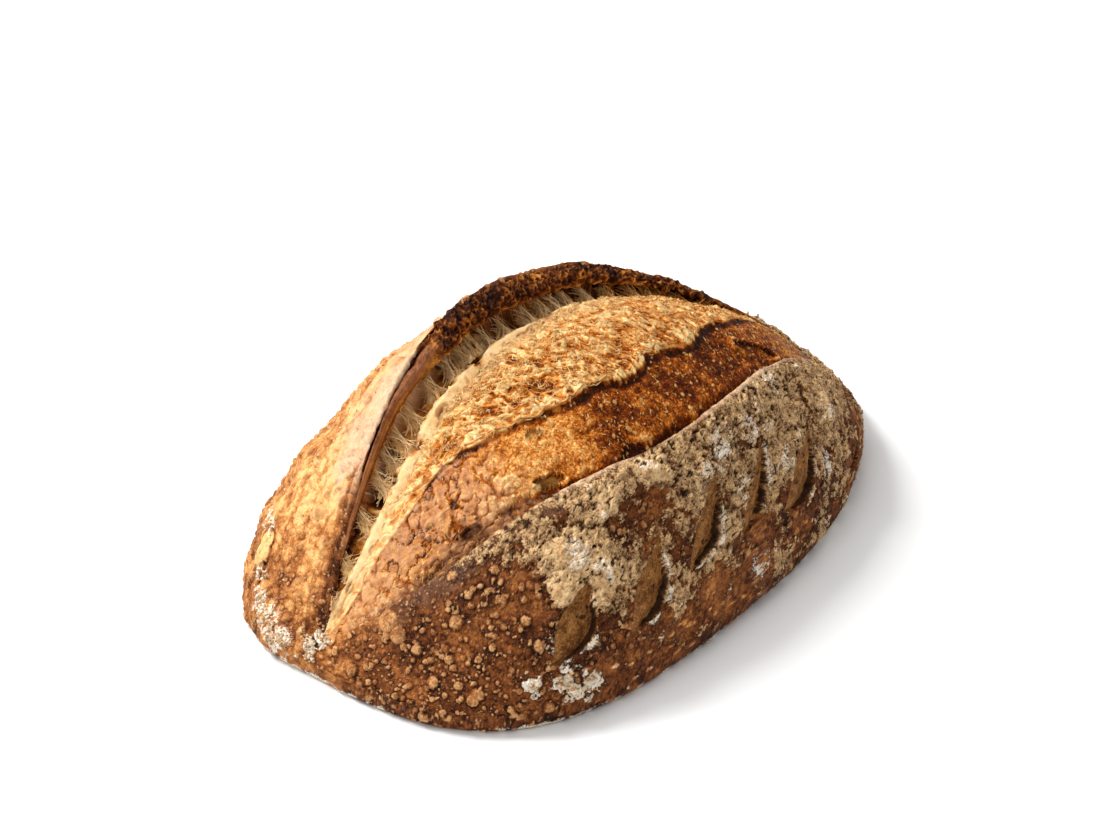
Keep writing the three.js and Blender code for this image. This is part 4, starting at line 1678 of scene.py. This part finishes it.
class EarSite:
    """Points of the gap under the ear, where they lie, and the noises that its parts share."""

    def __init__(self, p: Array, s: Array, u: Array, ear: "Ear") -> None:
        """Works out the shared noises, bubbles and regions.

        Args:
            p: bare points, shape (rows, stations, 3).
            s: share along the slash, for each point.
            u: share from the bloom to the crest, for each point.
            ear: gives the columns and how far the slash has opened.
        """
        self.p, self.s, self.u = p, s, u
        x, still = p[..., 0], np.zeros_like(u)
        self.run = layered_noise(np.stack([x, still, 10.0 * u], axis=-1), 3.4, 185, 3)
        self.v = u + 0.022 * self.run
        self.lip = ramp(self.v, 0.6, 0.66)
        self.inside = 1.0 - self.lip
        self.charred = ramp(s + 0.02 * self.run, 0.27, 0.35) * ramp(s, 1.0, 0.85)
        self.large, _ = Bubbles(8.0, 2.6, 4.4, 0.95, 151).field(p * np.array([0.8, 1.0, 1.0]))
        self.middle, _ = Bubbles(4.2, 1.0, 2.1, 0.9, 161).field(p)
        self.tiny, _ = Bubbles(1.9, 0.45, 1.0, 0.95, 171).field(p)
        self.net = creases(p, 1.9, 186, 2)
        self.drawn = layered_noise(np.stack([x, 5.0 * u, still], axis=-1), 1.5, 187, 3)
        self.rough = layered_noise(p, 6.0, 182, 3)
        self.grain = layered_noise(p, 1.8, 183, 2)
        self.lines = layered_noise(np.stack([x / 9.0, u * 34.0, still], axis=-1), 1.4, 184, 2)
        self.depth = np.clip(cap(self.large) + 0.4 * cap(self.middle), 0.0, 1.0)
        lowest, highest = ramp(u, 0.12, 0.2), ramp(u + 0.03 * self.rough, 0.56, 0.4)
        self.hole = ear.openings(x + 0.5 * self.grain) * lowest * highest
        narrow = np.clip(ear.form.slash(s)[3], 0.3, 1.0)
        self.crack = np.exp(-(((self.v - 0.905) / (0.03 / narrow)) ** 2))
        self.fringe = np.exp(-(((self.v - 0.665) / 0.04) ** 2))
        self.recess = np.exp(-(((u - 0.48) / 0.11) ** 2))
        self.outer = ramp(u, 0.3, 0.16)


@dataclass
class Ear:
    """The gap from the bloom to the ear's crest: crumb, recess, torn lip and charred rim."""

    form: LoafForm
    detail: float = 1.0
    stations: int = 700
    rows: int = 132
    low_ear_depth: float = 0.45
    near_lip: float = 0.5
    web_count: int = 1300
    column_gap: float = 8.2
    lumpiness: float = 0.8
    pole: tuple[float, float, float] = (-20.0, 14.0, 40.0)
    gap_profile: tuple[tuple[float, float], ...] = (
        (-16.5, 14.2), (-14.5, 12.8), (-12.0, 14.8), (-9.5, 17.5), (-6.0, 17.0), (-2.5, 14.0),
        (-3.2, 10.5), (-6.2, 8.8), (-7.6, 6.5), (-6.6, 3.4), (-3.2, 1.2), (-0.6, 0.9), (0.8, 2.6))

    def section(self, u: Array) -> tuple[Array, Array]:
        """Smooth curve through the profile's corners, by their share of its length.

        Args:
            u: shares from the bloom (0) to the crest (1).

        Returns:
            distance across and down from the crest.
        """
        corners = np.array(self.gap_profile)
        steps = np.linalg.norm(np.diff(corners, axis=0), axis=1)
        place = np.concatenate([[0.0], np.cumsum(steps)]) / steps.sum()
        fine = np.linspace(0.0, 1.0, 400)
        curve = np.stack([np.interp(fine, place, corners[:, k]) for k in (0, 1)], axis=-1)
        window = np.hanning(37)
        padded = np.pad(curve, ((18, 18), (0, 0)), mode="edge")
        rounded = [np.convolve(padded[:, k], window / window.sum(), mode="valid") for k in (0, 1)]
        return np.interp(u, fine, rounded[0]), np.interp(u, fine, rounded[1])

    def bare(self, s: Array, u: Array) -> Array:
        """The gap's surface without texture: the section swept along the crest."""
        x, _, ear, opening = self.form.slash(s)
        across, down = self.section(u)
        across = across * (1.0 - self.near_lip * ramp(s, 0.34, 0.2) * ramp(u, 0.35, 0.55))
        share = blend(self.low_ear_depth, 1.0, self.form.ear_rise(s) / self.form.ear_height)
        crest = self.form.dome(x, ear) + self.form.ear_rise(s)
        return np.stack([x, ear + across * opening, crest - down * opening * share], axis=-1)

    def columns(self) -> Array:
        """Places along the loaf of the columns between the holes, unevenly stepped."""
        step = np.arange(int(230.0 / self.column_gap))
        return self.form.near_tip[0] + self.column_gap * step + 2.4 * np.sin(5.1 * step)

    def openings(self, x: Array) -> Array:
        """How open the row of holes is at a place along the loaf: 1 in a hole, 0 in a column."""
        away = np.abs(x[..., None] - self.columns()).min(-1)
        return ramp(away, 0.7, 2.2)

    def texture(self, p: Array, s: Array, u: Array) -> tuple[Array, dict[str, Array]]:
        """Relief and masks: crumb cells below, smooth band or charred bubbles above.

        Args:
            p: bare points, shape (rows, stations, 3).
            s: share along the slash, for each point.
            u: share from the bloom to the crest, for each point.

        Returns:
            relief outward in millimetres, and a mask for each coat.
        """
        site = EarSite(p, s, u, self)
        v = site.v
        # Less cream in the deep cells: painted shade.
        crumb = ramp(u - 0.06 * site.drawn, 0.3, 0.08) * ramp(s, 0.7, 0.5) * (1 - 0.8 * site.depth)
        crest = ramp(v, 0.955, 0.98) * ramp(s, 0.04, 0.1) * ramp(s, 0.36, 0.28)
        band = ramp(v, 0.71, 0.76) * ramp(v, 0.88, 0.85) * (1.0 - site.charred)
        masks = {
            "toast_and_shade": np.clip(self.toast_and_shade(site), 0.0, 1.0),
            "band": band * (0.75 + 0.4 * site.lines),
            "cream": np.maximum(crumb, crest),
        }
        return self.relief(site), masks

    @staticmethod
    def relief(site: EarSite) -> Array:
        """Height in millimetres: cells and holes in the crumb, then a lined or pocked lip."""
        large, middle, tiny = cap(site.large), cap(site.middle), cap(site.tiny)
        webs = creases(site.p * np.array([1.0, 0.5, 0.5]), 2.2, 181, 2)
        cells = 5.0 * large + 1.5 * middle * (1 - 0.6 * large) + 0.5 * tiny
        crumb = -cells * (1.0 - 0.5 * site.hole) - 2.2 * site.hole
        crumb = crumb + 0.4 * webs + 0.6 * site.rough + 0.7 * site.drawn
        crumb = crumb * blend(0.3, 1.0, ramp(site.u, 0.08, 0.24))
        pocks = 1.3 * middle + 0.9 * tiny
        char = 0.9 * site.rough - pocks + 0.9 * site.net + 0.6 * large + 0.4 * site.grain
        band = 0.3 * site.rough + 0.3 * site.lines - 1.8 * site.crack + 0.5 * site.net * site.fringe
        return site.inside * crumb + site.lip * blend(band, char, site.charred)

    @staticmethod
    def toast_and_shade(site: EarSite) -> Array:
        """Baked colour and painted light: pale crumb with painted shade in its cells, holes and recess,
        brown band with painted shade in its crack, black charred lip with painted highlight on its
        ridges and painted shade in its pocks.

        Args:
            site: the points.

        Returns:
            browning, from about 0 to 1.
        """
        s, u, v, inside = site.s, site.u, site.v, site.inside
        rough, drawn, grain = site.rough, site.drawn, site.grain
        # Painted shade: darker in the deep cells, the holes, the recess and up under the ear.
        shaded = (0.62 * site.depth**1.4 + 0.36 * site.recess) * inside
        toast_and_shade = 0.14 + shaded + 0.12 * rough - 0.26 * drawn
        toast_and_shade += site.outer * (0.3 * ramp(rough + drawn, 0.1, 0.7) - 0.04)
        toast_and_shade = toast_and_shade + (0.3 + 0.16 * site.outer) * site.hole * inside
        toast_and_shade = toast_and_shade + 0.22 * ramp(u, 0.46, 0.56) * inside
        toast_and_shade += ramp(s, 0.3, 0.12) * (0.3 * site.recess + 0.14 * site.outer * ramp(grain, -0.2, 0.4))
        # Painted highlight on the raised ridges of the net, painted shade in the tiny pocks.
        brown = 0.84 + 0.16 * rough - 0.24 * ramp(site.net, 0.5, 0.95) + 0.1 * cap(site.tiny)
        brown = brown + 0.14 * grain
        brown -= 0.3 * site.fringe * ramp(site.run + grain, -0.3, 0.5)
        # Painted shade in the crack under the crest.
        band = 0.58 + 0.12 * rough + 0.14 * site.lines + 0.45 * site.crack - 0.2 * site.fringe
        band = band + ramp(s, 0.24, 0.14) * (0.16 * ramp(v, 0.8, 0.7) + 0.2 * ramp(v, 0.94, 1.0))
        toast_and_shade = blend(toast_and_shade, blend(band, brown, site.charred), site.lip)
        # Darker and more amber towards the far end, partly painted shade deep in the gap.
        return toast_and_shade + 0.26 * ramp(s, 0.45, 0.75) * inside

    def webs(self, material: bpy.types.Material) -> bpy.types.Object:
        """Fine strands drawn from the bloom's side of the crumb up to the ear's underside.

        They stand in columns, drawn in at the waist by 1 - 0.7 sin(pi w). A strand bows
        outward and up by sin(pi w), and flares at both ends by |2w - 1|^1.5.

        Args:
            material: the crumb's material.

        Returns:
            The joined strands as one piece.
        """
        rng = np.random.default_rng(SEED + 2)
        count, rings = self.web_count, 8
        column = rng.choice(self.columns()[1:-2], count)
        offset = np.stack([rng.normal(0.0, 2.0, count), rng.normal(0.0, 1.5, count)])
        u = np.stack([0.1 + 0.24 * rng.random(count), 0.3 + 0.3 * rng.random(count)])
        w = np.linspace(0.0, 1.0, rings)[None]
        reach = self.form.far_tip[0] - self.form.near_tip[0]
        s = (column + offset - self.form.near_tip[0]) / reach
        ends = [self.bare(np.clip(s[index], 0.0, 0.98), u[index]) for index in (0, 1)]
        s = np.clip(s[0], 0.0, 1.0)
        paths = blend(ends[0][:, None], ends[1][:, None], w[..., None])
        arch = np.sin(math.pi * w[..., None])
        drift = blend(offset[0][:, None], offset[1][:, None], w)
        paths[..., 0] -= 0.7 * drift * arch[..., 0]
        sway = rng.normal(0.0, 0.5, (count, 1, 3)) + np.array([0.0, -0.9, 0.4])
        paths = paths + arch * sway
        flare = 0.3 + 0.7 * np.abs(2.0 * w - 1.0) ** 1.5
        radii = (0.11 + 0.32 * rng.random(count) ** 2)[:, None] * flare
        tone = 0.02 + 0.34 * rng.random(count) ** 1.5 + 0.24 * ramp(s, 0.6, 0.8)
        masks = {"toast_and_shade": tone, "cream": ramp(s, 0.6, 0.4) * rng.random(count) ** 2}
        strewer = Strewer(self.form.middle(), material, flatness=0.5)
        return strewer.build("crumb_webs", paths, radii, masks)

    def build(self) -> list[bpy.types.Object]:
        """Makes the gap's closed skin and the webs across it."""
        s = run_shares(int(self.stations * self.detail))
        u = np.linspace(0.0, 1.0, int(self.rows * self.detail))
        shares, heights = np.meshgrid(s, u)
        bare = self.bare(shares, heights)
        outward = grid_normals(bare)
        relief, masks = self.texture(bare, shares, heights)
        opening = self.form.slash(s)[3][None]
        relief = relief * opening * np.clip(opening * 1.2, 0.3, 1.0) * ramp(heights, 1.0, 0.97)
        relief = relief + self.lumpiness * opening * self.form.lumpiness(bare) * outward[..., 2]
        points = bare + outward * relief[..., None]
        normals = grid_normals(points)
        border = Skin.rim(points)
        high = Skin.rim(heights) > 0.5
        inner = border + np.where(high[:, None], [[0.0, 6.0, -12.0]], [[0.0, -5.0, -9.0]])
        inner[:, 2] = np.maximum(inner[:, 2], 3.0)
        material = Finish.CRUMB.value.make()
        skin = Skin(points, normals, masks, inner, np.array(self.pole))
        return [skin.build("ear_and_crumb", self.form.middle(), material), self.webs(material)]


# --------------------------------------------------------------------------
# Studio
# --------------------------------------------------------------------------

@dataclass(frozen=True)
class Lamp:
    """A soft rectangular light that looks at the loaf."""

    name: str
    azimuth: float
    elevation: float
    distance: float
    size: float
    power: float


@dataclass
class Studio:
    """Pale floor, soft light and the camera."""

    azimuth: float = -51.3
    elevation: float = 30.54
    distance: float = 0.9012
    aim: tuple[float, float, float] = (-0.0116, 0.0062, 0.0487)
    focal: float = 79.55
    sensor: float = 36.0
    floor_half: float = 4.0
    floor_steps: int = 9
    floor_colour: Colour = (247, 247, 247)
    sky: float = 0.47
    lamps: tuple[Lamp, ...] = (
        Lamp("key", -158.0, 53.0, 1.3, 0.45, 16.0),
        Lamp("side", -95.0, 35.0, 1.6, 0.8, 2.8),
        Lamp("top", -140.0, 80.0, 1.2, 1.0, 5.0),
    )

    @staticmethod
    def direction(azimuth: float, elevation: float) -> Vector:
        """Unit vector towards a place round the loaf; azimuth 0 is on the -Y side."""
        turn, lift = math.radians(azimuth), math.radians(elevation)
        flat = math.cos(lift)
        return Vector((math.sin(turn) * flat, -math.cos(turn) * flat, math.sin(lift)))

    def floor(self) -> None:
        """A wide sheet a hair under the loaf, fine enough to shade evenly."""
        steps = np.linspace(-self.floor_half, self.floor_half, self.floor_steps)
        x, y = np.meshgrid(steps, steps)
        points = np.stack([x, y, np.full_like(x, -0.0002)], axis=-1).reshape(-1, 3)
        index = np.arange(x.size).reshape(x.shape)
        quads = np.stack([index[:-1, :-1], index[:-1, 1:], index[1:, 1:], index[1:, :-1]], axis=-1)
        quads = quads.reshape(-1, 4)
        triangles = np.concatenate([quads[:, [0, 1, 2]], quads[:, [0, 2, 3]]])
        shader = Shader("floor_white")
        shader.feed("Base Color", linear(self.floor_colour))
        shader.feed("Roughness", 0.9)
        shader.feed("Specular IOR Level", 0.0)
        make_mesh("floor", points, triangles, None, {}, shader.material)

    def light(self) -> None:
        """White surroundings and the soft lamps."""
        world = bpy.data.worlds.new("studio")
        world.use_nodes = True
        background = world.node_tree.nodes["Background"]
        background.inputs["Color"].default_value = (1.0, 1.0, 1.0, 1.0)
        background.inputs["Strength"].default_value = self.sky
        bpy.context.scene.world = world
        for lamp in self.lamps:
            data = bpy.data.lights.new(lamp.name, "AREA")
            data.shape = "SQUARE"
            data.size = lamp.size
            data.energy = lamp.power
            holder = bpy.data.objects.new(lamp.name, data)
            towards = self.direction(lamp.azimuth, lamp.elevation)
            holder.location = Vector(self.aim) + towards * lamp.distance
            holder.rotation_euler = towards.to_track_quat("Z", "Y").to_euler()
            bpy.context.scene.collection.objects.link(holder)

    def camera(self) -> None:
        """The camera, with a long lens and no shift."""
        data = bpy.data.cameras.new("camera")
        data.lens = self.focal
        data.sensor_width = self.sensor
        data.clip_start = 0.05
        holder = bpy.data.objects.new("camera", data)
        towards = self.direction(self.azimuth, self.elevation)
        holder.location = Vector(self.aim) + towards * self.distance
        holder.rotation_euler = towards.to_track_quat("Z", "Y").to_euler()
        bpy.context.scene.collection.objects.link(holder)
        bpy.context.scene.camera = holder

    def build(self) -> None:
        """Sets up floor, light, camera and a plain view transform."""
        self.floor()
        self.light()
        self.camera()
        bpy.context.scene.view_settings.view_transform = "Standard"


# --------------------------------------------------------------------------
# The whole scene
# --------------------------------------------------------------------------


def main() -> None:
    """Builds the loaf's pieces in order, rides them on the frame and sets up the studio."""
    logging.basicConfig(level=logging.INFO, format="%(name)s: %(message)s")
    detail = 1.0
    form = LoafForm()
    Studio().build()
    pieces = [
        *Crust(form, CrustWear(), detail).build(),
        *Bloom(form, detail).build(),
        *Ear(form, detail).build(),
    ]
    for piece in pieces:
        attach(piece, "root")
        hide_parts("loaf")
        LOG.info("%s: %d triangles", piece.name, len(piece.data.polygons))


if __name__ == "__main__":
    main()
